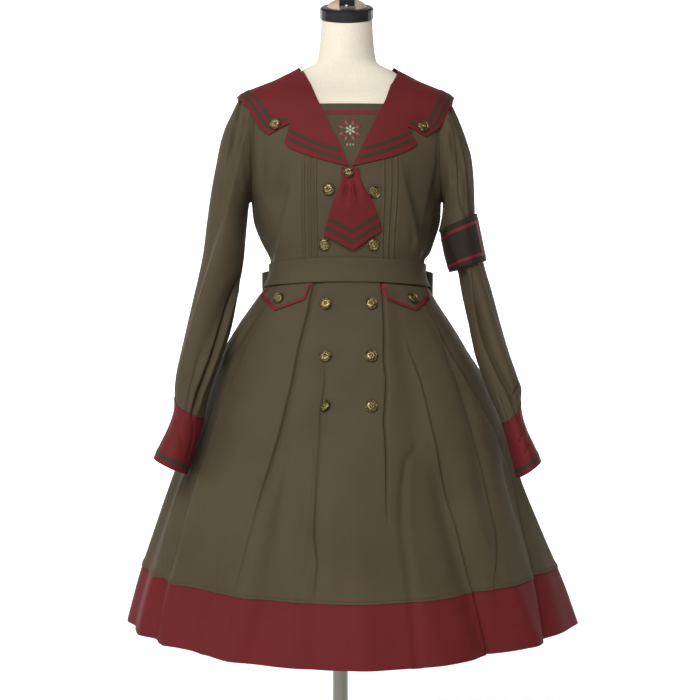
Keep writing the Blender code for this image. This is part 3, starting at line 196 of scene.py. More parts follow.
def figure_point(angle, height):
    """Point on the clothed figure."""
    angle, height = np.broadcast_arrays(angle, height)
    x, y = section(angle, *measures(FIGURE, "half_width front back centre", height), FIGURE_POWER)
    return np.stack([x, y, height], -1)


def figure_angle(x, height):
    """Angle at which the figure's front has a given x."""
    share = (x - read(FIGURE, "centre", height)) / read(FIGURE, "half_width", height)
    return np.arcsin(np.clip(share, -1.0, 1.0))


def lifted(surface, angle, level, lift):
    """Points of a surface moved out along its normals."""
    angle, level, lift = np.broadcast_arrays(angle, level, lift)
    small = 1e-3
    along = surface(angle + small, level) - surface(angle - small, level)
    up = surface(angle, level + small) - surface(angle, level - small)
    normal = unit(np.cross(along, up))
    if surface is skirt_point:
        normal = -normal
    return surface(angle, level) + normal * lift[..., None]


print("waist round, m:", round(2 * math.pi * float(np.sqrt((0.1285 ** 2 + 0.0945 ** 2) / 2)), 3))

# %% [markdown]
# ## Turning grids into cloth
#
# A piece of cloth is two grids, its outer face and its inner face, joined round the rim. It
# also stores the way along and across the cloth in metres as a UV map: the twill lines later
# follow it, so they turn with the cloth as real ones do.

# %% The cloth helper
def arc_lengths(grid, axis):
    """Distance along a grid from its first row or column."""
    steps = np.linalg.norm(np.diff(grid, axis=axis), axis=-1)
    zero = np.zeros_like(np.take(steps, [0], axis=axis))
    return np.concatenate([zero, np.cumsum(steps, axis=axis)], axis=axis)


def grid_area(grid):
    """Area of a grid's surface."""
    a, b, c, d = grid[:-1, :-1], grid[:-1, 1:], grid[1:, 1:], grid[1:, :-1]
    doubled = [np.linalg.norm(np.cross(c - a, other - a), axis=-1).sum() for other in (b, d)]
    return float(0.5 * sum(doubled))


def mesh_object(name, points, faces, finish, uv=None, sharp=50):
    """A smooth-shaded object from points and faces, with an optional UV per point."""
    mesh = bpy.data.meshes.new(name)
    mesh.from_pydata([tuple(map(float, point)) for point in points], [],
                     [tuple(map(int, face)) for face in faces])
    if uv is not None:
        corners = np.empty(len(mesh.loops), np.int32)
        mesh.loops.foreach_get("vertex_index", corners)
        layer = mesh.uv_layers.new(name="Grain")
        layer.uv.foreach_set("vector", np.asarray(uv, np.float32)[corners].ravel())
    mesh.shade_smooth()
    mesh.set_sharp_from_angle(angle=math.radians(sharp))
    mesh.materials.append(finish)
    made = bpy.data.objects.new(name, mesh)
    bpy.context.scene.collection.objects.link(made)
    return made


def grid_faces(rows, columns, start, closed):
    """Quads of one grid of points, numbered row by row from a first number."""
    row = np.arange(rows - 1)[:, None] * columns + start
    column = np.arange(columns if closed else columns - 1)[None, :]
    right = (column + 1) % columns
    corners = [row + column, row + right, row + right + columns, row + column + columns]
    return np.stack(corners, -1).reshape(-1, 4)


def wall_data(outer, inner, closed=False, zero=None, open_first=0):
    """Points, faces and grain of a thin wall between two grids, closed round its rim.

    zero is the column from which the grain is measured. The first column's rim is left open
    for a number of rows where another wall joins on.
    """
    rows, columns = outer.shape[:2]
    second = rows * columns
    front = grid_faces(rows, columns, 0, closed)
    back = grid_faces(rows, columns, second, closed)[:, ::-1]
    across = np.arange(columns if closed else columns - 1)
    right = (across + 1) % columns
    last = (rows - 1) * columns
    rims = [np.stack([right, across, across + second, right + second], -1),
            np.stack([across + last, right + last, right + last + second, across + last + second], -1)]
    if not closed:
        down = np.arange(open_first, rows - 1) * columns
        rims.append(np.stack([down, down + columns, down + columns + second, down + second], -1))
        edge = np.arange(rows - 1) * columns + columns - 1
        rims.append(np.stack([edge + columns, edge, edge + second, edge + columns + second], -1))
    faces = np.concatenate([front, back] + rims)
    points = np.concatenate([outer.reshape(-1, 3), inner.reshape(-1, 3)])
    step = outer[:-1, 1:] - outer[:-1, :-1], outer[1:, :-1] - outer[:-1, :-1]
    out = (outer - inner)[:-1, :-1]
    if (np.cross(*step) * out).sum() < 0:
        faces = faces[:, ::-1]
    lengths = arc_lengths(outer, 1)
    zero = columns // 2 if zero is None else zero
    grain = np.stack([lengths - lengths[:, zero][:, None], arc_lengths(outer, 0)], -1).reshape(-1, 2)
    return points, faces, np.concatenate([grain, grain])


def shell(name, outer, inner, finish, closed=False):
    """A thin wall of cloth between two grids as an object."""
    points, faces, grain = wall_data(outer, inner, closed)
    return mesh_object(name, points, faces, finish, grain)


def welded(name, walls, finish):
    """Several walls that share edges, as one object."""
    counts = np.cumsum([0] + [len(points) for points, _, _ in walls])
    points = np.concatenate([wall[0] for wall in walls])
    faces = np.concatenate([wall[1] + count for wall, count in zip(walls, counts)])
    keys = np.round(points * 2e5).astype(np.int64)
    _, kept, number = np.unique(keys, axis=0, return_index=True, return_inverse=True)
    faces = number.ravel()[faces]
    grain = np.concatenate([wall[2] for wall in walls])[kept]
    return mesh_object(name, points[kept], faces, finish, grain)


cut_sizes = {}
NARROWEST_SHEET = 0.010


def cloth(piece, outer, closed=False):
    """Records and prints the size that a piece of cloth's outer face measures along the surface."""
    grid = np.concatenate([outer, outer[:, :1]], 1) if closed else outer
    width = float(arc_lengths(grid, 1)[:, -1].max())
    length = float(arc_lengths(grid, 0)[-1].max())
    area = min(grid_area(grid), width * length)
    cut_sizes[piece.name] = (round(width, 3), round(length, 3), round(area, 4))
    if min(width, length) < NARROWEST_SHEET:
        print(piece.name, "is a tape, cut", cut_sizes[piece.name])
        return
    print(piece.name, "cut", cut_sizes[piece.name])


def hang(piece, *nodes):
    """The piece rides on the one body and stands for its CAD nodes, which are hidden."""
    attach(piece, "root")
    if nodes:
        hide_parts(*nodes)
    return piece


def sewn(node, outer, inner, finish, rests_on, closed=False):
    """A piece of cloth between two grids, which stands for the CAD node of its name."""
    piece = hang(shell("dress_" + node, outer, inner, finish, closed), node)
    cloth(piece, outer, closed)


def sewn_on(name, face, back, finish, carrier, closed=False):
    """A tape or piping between two grids; carrier, the piece that it is sewn to, is not used."""
    tape = hang(shell(name, face, back, finish, closed))
    cloth(tape, face, closed)
    return tape


print("helpers ready")

# %% [markdown]
# ## Shader maths as plain expressions
#
# A procedural finish is arithmetic on sockets. A small wrapper turns `+` and `*` into Math
# nodes, so a twill line reads as one expression. Any other node comes from one method.

# %% The socket wrapper
class Wire:
    """A socket that can be used in arithmetic, and the tree that it belongs to."""

    def __init__(self, tree, socket):
        self.tree = tree
        self.socket = socket

    def math(self, operation, *values):
        """A Math node on this wire and other values."""
        return self.tree.node("ShaderNodeMath", {"operation": operation}, [self, *values])

    def __add__(self, other):
        return self.math("ADD", other)

    def __mul__(self, other):
        return self.math("MULTIPLY", other)

    def between(self, low, high):
        """0 below the first value and 1 above the second, with a soft step."""
        return self.tree.node("ShaderNodeMapRange", {"interpolation_type": "SMOOTHSTEP"},
                              {"Value": self, "From Min": low, "From Max": high})


class Finish:
    """A material under construction: its nodes and its Principled shader."""

    def __init__(self, name, roughness, metallic=0.0):
        self.material = bpy.data.materials.new(name)
        self.material.use_nodes = True
        self.nodes = self.material.node_tree.nodes
        self.links = self.material.node_tree.links
        self.shader = self.nodes["Principled BSDF"]
        self.shader.inputs["Roughness"].default_value = roughness
        self.shader.inputs["Metallic"].default_value = metallic

    def node(self, kind, settings=None, values=(), output=0):
        """A node of any type: settings first, then values or links of its sockets."""
        made = self.nodes.new(kind)
        for setting, value in (settings or {}).items():
            setattr(made, setting, value)
        pairs = values.items() if isinstance(values, dict) else enumerate(values)
        for key, value in pairs:
            if isinstance(value, Wire):
                self.links.new(value.socket, made.inputs[key])
            else:
                made.inputs[key].default_value = value
        return Wire(self, made.outputs[output])

    def grain(self):
        """Place on the cloth in metres: across and along its grain."""
        place = self.node("ShaderNodeUVMap", {"uv_map": "Grain"})
        return [self.node("ShaderNodeSeparateXYZ", {}, [place], n) for n in (0, 1)]

    def place(self):
        """Place on the object in metres."""
        return self.node("ShaderNodeTexCoord", {}, (), "Object")

    def noise(self, scale, detail=3.0, where=None):
        """Soft random cloud between 0 and 1."""
        values = {"Vector": where or self.place(), "Scale": scale, "Detail": detail}
        return self.node("ShaderNodeTexNoise", {}, values)

    def mixed(self, share, first, second):
        """One colour at share 0 and another at share 1."""
        return self.node("ShaderNodeMix", {"data_type": "RGBA"}, {0: share, 6: first, 7: second}, 2)

    def colour(self, value):
        """Gives the shader its colour."""
        self.links.new(value.socket, self.shader.inputs["Base Color"])

    def rough(self, value):
        """Gives the shader its roughness."""
        self.links.new(value.socket, self.shader.inputs["Roughness"])

    def relief(self, height, distance, strength=1.0):
        """Gives the shader a relief from a height between 0 and 1, in metres."""
        values = {"Height": height, "Distance": distance, "Strength": strength}
        self.links.new(self.node("ShaderNodeBump", {}, values).socket, self.shader.inputs["Normal"])


def shade(red, green, blue):
    """A colour given as on a screen, from 0 to 255, as the light that it stands for."""
    values = [value / 255 for value in (red, green, blue)]
    return tuple(v / 12.92 if v <= 0.04045 else ((v + 0.055) / 1.055) ** 2.4 for v in values) + (1.0,)


def grained(name, noise, tones, rough, spread=None, relief=None, contrast=None, metallic=0.0,
            stretch=None):
    """A finish whose tone, roughness and relief all follow one noise.

    spread is how much rougher it gets from one tone to the other, contrast narrows the noise
    before it mixes the tones, and stretch draws the noise out.
    """
    made = Finish(name, rough, metallic)
    place = made.place()
    if stretch:
        place = made.node("ShaderNodeMapping", {}, {"Vector": place, "Scale": stretch})
    grain = made.noise(*noise, place)
    share = grain.between(*contrast) if contrast else grain
    made.colour(made.mixed(share, *[shade(*tone) for tone in tones]))
    if spread:
        made.rough(grain * spread + rough)
    if relief:
        made.relief(grain, *relief)
    return made.material


print("olive as light:", [round(v, 3) for v in shade(95, 84, 67)])

# %% [markdown]
# ## Twill
#
# Twill is woven so that each weft thread passes one warp thread further along, which draws
# fine slanting ribs. The ribs are a sine of across plus along; crossing yarns break them up.
# A slow cloud changes the colour a little, because dyed cloth is never quite even, and a fine
# cloud gives single yarns their own tone. A middle one makes the worn cloth a little uneven.

# %% Twill finishes
RIB_PITCH = 0.0009


def twill(name, light, dark, roughness, sheen, tint):
    """Twill cloth between two tones of one colour."""
    made = Finish(name, roughness)
    across, along = made.grain()
    rib = ((across + along * 1.15) * (2 * math.pi / RIB_PITCH)).math("SINE") * 0.5 + 0.5
    yarn = (along * (2 * math.pi / (RIB_PITCH * 0.55))).math("SINE") * 0.5 + 0.5
    cloud = made.noise(9.0, 3.0)
    fleck = made.noise(900.0, 2.0)
    crumple = made.noise(34.0, 3.0)
    tone = cloud.between(0.30, 0.70) * 0.30 + rib * 0.22 + fleck * 0.48
    made.colour(made.mixed(tone, shade(*dark), shade(*light)))
    made.rough(cloud * 0.10 + (roughness - 0.05))
    made.relief(rib * 0.05 + yarn * 0.02 + crumple * 0.93, 0.0011, 0.8)
    made.shader.inputs["Sheen Weight"].default_value = sheen
    made.shader.inputs["Sheen Roughness"].default_value = 0.45
    made.shader.inputs["Sheen Tint"].default_value = shade(*tint)
    made.shader.inputs["Specular IOR Level"].default_value = 0.25
    return made.material


olive_twill = twill("olive twill", (89, 78, 59), (69, 59, 44), 0.80, 0.10, (170, 155, 125))
burgundy_twill = twill("burgundy twill", (112, 29, 32), (94, 22, 26), 0.74, 0.08, (190, 110, 110))
armband_twill = twill("armband twill", (48, 38, 29), (36, 29, 22), 0.80, 0.08, (120, 110, 100))
olive_tape = twill("olive tape", (60, 52, 41), (46, 40, 31), 0.70, 0.06, (150, 145, 130))
burgundy_tape = twill("burgundy tape", (122, 34, 44), (100, 26, 34), 0.66, 0.08, (190, 110, 110))
print("cloth finishes:", [material.name for material in bpy.data.materials])

# %% [markdown]
# ## Skirt
#
# The skirt flares from the waist seam to the hem. Its sections come from a table by drop,
# 0 at the seam and 1 at the hem. Folds are soft hills and troughs added to the section's
# size along lines that fan out downwards, and two pressed pleats lift the front panel by a
# step. We could let a cloth simulation find the folds, but then they would fall elsewhere
# than in the picture; placed one by one they fall where the dress has them.

# %% Skirt sizes and folds
SEAM = 0.0003
HEM_FRONT = 0.3835
HEM_SIDE = 0.414
HEM_POWER = 2.2
HEM_BACK = 0.398
BAND_SHARE = 0.845

# The skirt's sections, by how far down they are from the waist seam (0) to the hem (1)
SKIRT = table("drop/% half_width/mm front/mm back/mm centre/mm power", [
    (0, 128.5, 104, 85, -6, 2.3),
    (3.3, 133.5, 106.5, 90, -6.8, 2.3),
    (8, 150.5, 113, 102, -9, 2.25),
    (14.9, 177.5, 127, 121, -10, 2.15),
    (21.9, 202, 142, 140, -10, 2.1),
    (31, 230, 162, 162, -5.5, 2.05),
    (41.5, 253.5, 185, 186, -5.3, 2.05),
    (60.3, 291.6, 226, 226, -10, 2.05),
    (74.2, 321.4, 255, 255, -7.7, 2.05),
    (88.2, 352, 284, 283, -3.5, 2.05),
    (100, 373.5, 303, 303, 0, 2.05),
])

# Folds of the skirt: where each lies at the waist, half way down and at the hem, in degrees
# from front centre, the drops between which it shows, its width in degrees and its depth
SKIRT_FOLDS = table("waist middle hem start/% end/% width depth/mm", [
    (-64, -64, -66, 5, 30, 4, -5),
    (56, 66, 72, 12, 50, 4, -4.5),
    (54, 51, 40, 8, 120, 4.5, -6.5),
    (30, 32, 35, 42, 160, 4.2, -15),
    (26, 26, 18, 10, 75, 5, -4),
    (68, 70, 57, 40, 150, 4.5, -10),
    (47, 44, 49, 45, 150, 5, 9),
    (-20, -19, -22, 45, 110, 4.5, -5.5),
    (-27, -24, -29, 50, 145, 4, 7.5),
    (-8.5, -8.5, -8.5, 12, 125, 3, -3),
    (-40, -40, -42, 55, 150, 5, -6.5),
    (-52, -52, -51.5, 40, 150, 4.5, 8),
    (-60, -58, -57, 45, 160, 3.2, -9),
    (-66, -64, -62, 40, 150, 4, 7),
    (-76, -75, -74, 40, 150, 4.5, -8),
    (78, 80, 78, 35, 150, 5, 6),
    (6, 3, 4, 60, 150, 5, 5),
    (14, 16, 21, 65, 150, 5, 5.5),
    (100, 103, 102, 30, 150, 5, -8),
    (112, 114, 116, 25, 150, 5.5, 7),
    (125, 128, 129, 30, 150, 5, -10),
    (140, 142, 143, 15, 150, 5.5, 8),
    (153, 155, 157, 10, 150, 5, -10),
    (166, 169, 171, 20, 150, 5.5, 7),
    (182, 183, 184, 35, 150, 5, -7),
    (196, 197, 198, 15, 150, 5.5, 8),
    (208, 209, 211, 10, 150, 5, -11),
    (222, 223, 226, 25, 150, 5.5, 7),
    (236, 238, 239, 20, 150, 5, -9),
    (250, 252, 253, 35, 150, 5, 7),
    (260, 262, 264, 30, 150, 4, -7),
])

# At the pressed pleats the front panel stands proud of the sides of the skirt by a step
LEFT_PLEAT_STEP = 0.0020
RIGHT_PLEAT_STEP = 0.0060

# Fine creases that only cloth this thin shows: narrow lines in the flare
CREASES = table("waist middle hem start/% end/% width depth/mm", [
    (-33, -31, -36, 45, 160, 1.6, -1.2),
    (-36, -35, -38, 50, 160, 1.8, 1.2),
    (-47, -46, -47, 50, 160, 1.8, -1.2),
    (43, 45, 46, 40, 160, 1.6, -1.4),
    (2, 0, 0, 50, 160, 2, -1),
    (85, 84, 84, 30, 160, 1.8, -2),
    (120, 121, 122, 15, 160, 1.8, -2.2),
    (148, 149, 150, 10, 160, 1.6, -2.2),
    (174, 176, 177, 15, 160, 1.8, 1.6),
    (215, 216, 217, 15, 160, 1.6, 1.8),
    (230, 231, 232, 10, 160, 1.8, -2.2),
    (272, 274, 275, 30, 160, 1.8, -2),
])

# Crisp folds, each with the side it falls to (1 right, -1 left, 0 a plain trough), its depth and
# the widths of its edge and its fall in mm, and its path: drop in percent, angle in degrees,
# strength in percent
CRISP_FOLDS = {
    "left pleat": (1, 5, 1.4, 14, [
        (0, -25, 60), (11, -21.4, 100), (23, -21.8, 100), (37, -23.7, 100), (49, -25.3, 100),
        (56, -26.3, 80), (65, -27.5, 50), (77, -29.1, 40), (83, -29.9, 30), (100, -29.9, 10)]),
    "right pleat": (0, 4.5, 2.2, 10, [
        (0, 26.2, 70), (4, 25, 80), (11, 22, 100), (24, 17, 100), (40, 13, 100), (54, 13.2, 90),
        (60, 12.9, 50), (66, 12.6, 0)]),
    "strong fold": (1, 8, 2.2, 20, [
        (18, 31, 0), (28, 31.2, 50), (42, 31.7, 90), (54, 33.4, 100), (67, 35.4, 100), (81, 35.4, 100),
        (100, 35.5, 90)]),
    "second fold": (1, 6, 1.8, 14, [
        (8, 56.7, 40), (17, 56.8, 80), (24, 52.7, 100), (32, 50.1, 100), (54, 52.2, 100),
        (61, 51.3, 100), (71, 48.4, 100), (76, 45.9, 70), (83, 41.8, 20), (86, 41, 0)]),
    "third fold": (1, 6, 2.6, 14, [
        (12, 57.5, 0), (20, 59, 80), (29, 59.4, 100), (40, 63.3, 100), (52, 71, 40), (58, 73, 0)]),
    "right flute": (1, 8, 2, 16, [
        (48, 74.5, 0), (58, 72.8, 60), (64, 71.1, 100), (71, 67.5, 100), (79, 64.4, 100), (85, 60, 100),
        (100, 54.3, 80)]),
    "branch": (0, 4.5, 7, 10, [
        (44, 25, 0), (47, 24.9, 50), (50, 20.3, 80), (56, 18.6, 100), (66, 16.9, 80), (84, 16.4, 60),
        (100, 15.3, 50)]),
    "middle line": (1, 3, 1.6, 12, [
        (25, -9.3, 0), (30, -9.2, 70), (38, -10.2, 60), (48, -9.6, 40), (58, -9, 70), (62, -8.9, 100),
        (68, -9, 100), (75, -7.9, 80), (80, -8.3, 60), (85, -9, 0)]),
    "middle ridge": (-1, 1.8, 2, 8, [
        (50, -11.7, 0), (56, -11.6, 100), (64, -11.5, 100), (75, -12.4, 60), (80, -12.6, 0)]),
    "left valley": (1, 3.5, 4, 10, [
        (44, -20.2, 0), (54, -20.1, 100), (65, -21.1, 100), (76, -22.3, 50), (84, -22.3, 0)]),
    "side fold": (1, 6, 2, 14, [
        (4, -60, 0), (10, -61.9, 100), (16, -64.5, 100), (21, -66.1, 90), (29, -69, 0)]),
    "left ridge": (-1, 3.6, 2.2, 14, [
        (15, -52.5, 0), (24, -53.7, 50), (35, -55.2, 70), (43, -56.7, 70), (55, -55, 100),
        (68, -54.6, 100), (77, -52.7, 60), (83, -52, 0)]),
    "left flute": (-1, 6, 2.2, 16, [
        (36, -61.5, 0), (48, -62, 60), (60, -62, 70), (72, -62.5, 70), (83, -59.6, 100), (89, -55, 100),
        (100, -50.8, 100)]),
    "outer ridge": (-1, 3, 2.4, 12, [
        (42, -68, 0), (52, -67, 90), (70, -66, 100), (82, -64, 50), (90, -63, 0)]),
    "seam crease": (0, 2.2, 3, 10, [
        (76, -12.5, 0), (80, -13.5, 100), (84, -15.6, 100), (87, -16, 0)]),
    "seam crease beside it": (0, 1.8, 3, 10, [
        (74, -10.2, 0), (79, -11.4, 100), (84, -12.3, 80), (87, -12.6, 0)]),
}

# The crisp folds are deeper in front than behind, by these factors
FRONT_CRISPNESS = 1.25
BACK_CRISPNESS = 0.85

# The crisp folds that the grid's columns follow, from left to right
FOLLOWED = ["left flute", "left ridge", "left pleat", "middle line", "right pleat", "strong fold",
            "second fold", "right flute"]


def fold_line(row_waist, row_middle, row_hem, drop):
    """Angle of a fold at a drop, on a curve through its three angles."""
    drop = np.clip(drop, 0.0, 1.0)
    upper = (1 - drop) * (1 - 2 * drop) * row_waist + 4 * drop * (1 - drop) * row_middle
    return np.radians(upper + drop * (2 * drop - 1) * row_hem)


def fold_relief(folds, angle, drop):
    """How far the folds of a table push the skirt out or in."""
    relief = np.zeros(np.shape(angle))
    rows = rows_of(folds, "waist middle hem start end width depth")
    for waist, middle, hem, start, end, width, depth in rows:
        away = wrapped(angle - fold_line(waist, middle, hem, drop))
        shown = ease(start, start + 0.25, drop) * (1 - ease(end - 0.25, end, drop))
        relief = relief + depth * shown * bump(away, math.radians(width))
    return relief


def fold_path(fold, place):
    """Where a crisp fold lies and its strength, at a place along its path."""
    places, lines, shares = np.array(fold[4], float).T
    strength = np.interp(place, places, shares, left=0.0, right=0.0) * PERCENT
    return np.interp(place, places, lines), strength


def fold_profile(fold, away):
    """Lift of the cloth at a distance from a crisp fold's line."""
    side, *sizes, _ = fold
    depth, edge, fall = np.array(sizes) * MM
    if side == 0:
        return -depth * bump(away, edge)
    away = side * away
    fallen = 0.5 * (1 + np.tanh(away / edge))
    proud = 0.35 * (1 - fallen) * np.exp(np.minimum(away, 0) / fall)
    return depth * (proud - fallen * np.exp(-np.maximum(away, 0) / fall))


def crisp_sum(folds, place, distance_from):
    """Lift by all crisp folds of a table; a function gives the distance from a fold's line."""
    lift = 0.0
    for fold in folds.values():
        line, share = fold_path(fold, place)
        lift = lift + share * fold_profile(fold, distance_from(line))
    return lift


def crisp_path(name, drop):
    """Angle in degrees of one of the skirt's crisp folds at a drop."""
    return fold_path(CRISP_FOLDS[name], drop / PERCENT)[0]


def crisp_relief(angle, drop):
    """Folds with an edge: the cloth stands a little proud and falls steeply to one side."""
    front = np.cos(angle) > 0
    facing = np.where(front, wrapped(angle), wrapped(angle - math.pi))
    sides, depths = measures(SKIRT, "half_width front", drop)

    def distance_from(degrees):
        line = np.radians(degrees)
        return wrapped(facing - line) * np.hypot(sides * np.cos(line), depths * np.sin(line))

    relief = crisp_sum(CRISP_FOLDS, drop / PERCENT, distance_from)
    return relief * np.where(front, FRONT_CRISPNESS, BACK_CRISPNESS)


def skirt_relief(angle, drop):
    """Folds, fine creases and pressed pleats together."""
    relief = fold_relief(SKIRT_FOLDS, angle, drop) + fold_relief(CREASES, angle, drop)
    shown = ease(0.02, 0.10, drop) * (1 - ease(0.45, 0.75, drop))
    inner = wrapped(angle - np.radians(crisp_path("right pleat", drop)))
    outer = wrapped(angle - np.radians(crisp_path("left pleat", drop)))
    proud = bump(np.minimum(inner, 0), 0.30) * (1 - ease(0.0, 0.20, inner))
    relief = relief + RIGHT_PLEAT_STEP * shown * proud * (outer > -0.5)
    proud = bump(np.maximum(outer, 0), 0.30) * ease(-0.05, 0.05, outer)
    relief = relief + LEFT_PLEAT_STEP * shown * proud
    return relief + crisp_relief(angle, drop)


def hem_height(angle):
    """Height of the hem, which is higher at the sides."""
    middle = np.where(np.cos(angle) > 0, HEM_FRONT, HEM_BACK)
    return HEM_SIDE + (middle - HEM_SIDE) * np.abs(np.cos(angle)) ** HEM_POWER


def skirt_point(angle, drop):
    """Point on the skirt's outer face, from the waist seam (drop 0) to the hem (drop 1)."""
    angle, drop = np.broadcast_arrays(angle, drop)
    relief = skirt_relief(angle, drop)
    sizes = [size + relief for size in measures(SKIRT, "half_width front back", drop)]
    x, y = section(angle, *sizes, *measures(SKIRT, "centre power", drop))
    height = WAIST_SEAM + (hem_height(angle) - WAIST_SEAM) * drop
    return np.stack([x, y, height], -1)


def skirt_drop(angle, height):
    """Drop at which the skirt has a given height."""
    return (WAIST_SEAM - height) / (WAIST_SEAM - hem_height(angle))


print("hem heights, m:", [round(float(hem_height(a)), 3) for a in (0.0, 1.57, 3.14)])

# %% The skirt's cloth
SKIRT_COLUMNS = 353


def skirt_angles(middle, drops):
    """Angles of a panel's columns by row, which follow the crisp folds and crowd along them."""
    lines = [crisp_path(name, 0.5) for name in FOLLOWED]
    fine = np.linspace(-90, 90, 3601)
    crowd = 1 + 6 * sum(bump(fine - line, 1.2) for line in lines)
    sums = np.cumsum(crowd)
    turns = np.interp(np.linspace(sums[0], sums[-1], SKIRT_COLUMNS), sums, fine)
    anchors = np.array([-90, *lines, 90])
    rows = []
    for drop in drops:
        here = np.array([-90, *[crisp_path(name, drop) for name in FOLLOWED], 90])
        rows.append(np.interp(turns, anchors, here))
    return np.radians(np.array(rows) + middle)


def skirt_grid(middle, start, end, rows, thickness, edge=0.0):
    """Outer and inner grids of a skirt panel; edge raises its lowest centimetre a little."""
    drops = np.linspace(end, start, rows)
    angles = skirt_angles(middle, drops)
    drops = drops[:, None]
    gap = 0.5 * SEAM / read(SKIRT, "half_width", drops)
    angles = angles + gap * row_of(1, -1, SKIRT_COLUMNS)
    lift = edge * ease(end - 0.020, end - 0.006, drops)
    outer = lifted(skirt_point, angles, drops, lift)
    inner = lifted(skirt_point, angles, drops, lift - thickness)
    return outer, inner


# The skirt laps over the top of the hem band and stands clear of it
HEM_LAP_LIFT = CLOTH + SEAM

for name, middle in (("front", 0), ("back", 180)):
    outer, inner = skirt_grid(middle, 0.0008, BAND_SHARE, 81, CLOTH, HEM_LAP_LIFT)
    sewn("skirt_" + name, outer, inner, olive_twill, ["waistband_" + name])
    outer, inner = skirt_grid(middle, BAND_SHARE - 0.006, 1.0, 21, FIRM_CLOTH)
    sewn("hem_band_" + name, outer, inner, burgundy_twill, ["skirt_" + name])

# %% Stitches above the hem band
STITCH = 0.0026
STITCH_GAP = 0.0010
STITCH_THICK = 0.0003


def stitches(name, points, normals, finish):
    """Single stitches of thread along a closed line that lies on cloth."""
    steps = np.linalg.norm(np.diff(points, axis=0), axis=1)
    along = np.concatenate([[0.0], np.cumsum(steps)])
    count = int(along[-1] / (STITCH + STITCH_GAP))
    starts = np.arange(count) * along[-1] / count
    places = starts[:, None] + np.linspace(0, STITCH, 4)[None, :]
    at = np.stack([np.interp(places, along, points[:, k]) for k in range(3)], -1)
    out = np.stack([np.interp(places, along, normals[:, k]) for k in range(3)], -1)
    side = unit(np.cross(out, at[:, -1:] - at[:, :1]))
    arch = np.array([-0.8, 0.5, 0.5, -0.8])[None, :, None]
    turns = np.arange(5) * 2 * math.pi / 5
    ring = np.cos(turns)[:, None] * side[:, :, None] + np.sin(turns)[:, None] * out[:, :, None]
    points = (at + out * arch * STITCH_THICK)[:, :, None] + ring * STITCH_THICK
    faces = [grid_faces(4, 5, 20 * n, True) for n in range(count)]
    ends = [tuple(20 * n + corner for corner in end) for n in range(count)
            for end in ((4, 3, 2, 1, 0), (15, 16, 17, 18, 19))]
    faces = [tuple(face) for face in np.concatenate(faces)] + ends
    return mesh_object(name, points.reshape(-1, 3), [face[::-1] for face in faces], finish)


olive_thread = grained("olive thread", (900.0, 3.0), [(50, 44, 33), (72, 63, 48)], 0.55)
turns = np.linspace(-math.pi, math.pi, 1441)
drops = np.full(1441, BAND_SHARE - 0.0068)
seat = lifted(skirt_point, turns, drops, HEM_LAP_LIFT)
above = lifted(skirt_point, turns, drops, HEM_LAP_LIFT + 0.001)
row = stitches("hem_stitches", seat, (above - seat) * 1000, olive_thread)
hang(row)
print("stitches round the hem:", len(row.data.vertices) // 20)

# %% [markdown]
# ## Bodice
#
# The front has three pintucks on each side of the buttons: tiny pleats sewn down on the right
# side of the cloth. We raise them in the outer grid over a plain inside, and put a few more
# columns where they run. Soft drag lines run from the bust to the underarm, as cloth has them
# when the weight of a sleeve pulls on it.

# %% Armhole, neck and tucks
# The armhole is divided into as many parts as the sleeve has sides, so their edges run together
SLEEVE_SIDES = 18
ARMHOLE_MIDDLE = 0.5 * (UNDERARM + SHOULDER_TIP)
ARMHOLE_REACH = 0.5 * (SHOULDER_TIP - UNDERARM)
ARMHOLE_TURNS = np.arange(SLEEVE_SIDES) * 2 * math.pi / SLEEVE_SIDES
ARMHOLE_HEIGHTS = [float(ARMHOLE_MIDDLE + ARMHOLE_REACH * math.cos(turn))
                   for turn in ARMHOLE_TURNS[SLEEVE_SIDES // 2::-1]]
V_POINT = ARMHOLE_HEIGHTS[3]

# The armhole's edge on the bodice, as distance from the figure's centre line, by height
ARMHOLE = table("height/mm front/mm back/mm", [
    (1108, 159, 159),
    (1124, 157, 156),
    (1150, 154.5, 152),
    (1187, 152.8, 149.5),
    (1215, 151.4, 148.5),
    (1245, 150.8, 149),
    (1265, 152, 151),
    (1278, 153.8, 153.3),
    (1285, 155.6, 155.3),
    (1290, 158, 158),
])

# The V of the neck, as x on the front of the figure, by height
V_EDGE = table("height/mm left/mm right/mm", [
    (1153.4, -1, -1),
    (1155, -3.6, 1.4),
    (1191, -19.4, 19.4),
    (1262, -53.2, 54.8),
    (1312, -74, 74.2),
    (1324, -80, 78.9),
])
# Rows of both panels: heights below the armhole, along it and above it
BODICE_HEIGHTS = [0.9902, 1.009, 1.016, 1.034, 1.056, 1.082] + ARMHOLE_HEIGHTS + [1.300, 1.311, 1.322]

# Pintucks: x of each at the bust and at the waist, from the middle outwards
TUCKS = {
    "left": [(-0.0564, -0.0549), (-0.0660, -0.0645), (-0.0757, -0.0747)],
    "right": [(0.0527, 0.0499), (0.0639, 0.0587), (0.0735, 0.0675)],
}
TUCK_HALF_WIDTH = 0.0016
TUCK_HEIGHT = 0.0018


def half_seam(height):
    """Half a seam's gap as an angle at the figure's side."""
    return 0.5 * SEAM / read(FIGURE, "half_width", height)


def bodice_limit(height, face):
    """Angle, from the middle of the front or back, at which a bodice panel ends."""
    if UNDERARM + SEAM < height < SHOULDER_TIP - SEAM:
        edge = read(FIGURE, "centre", height) + read(ARMHOLE, face, height)
        return figure_angle(edge, height)
    return math.pi / 2 - half_seam(height)


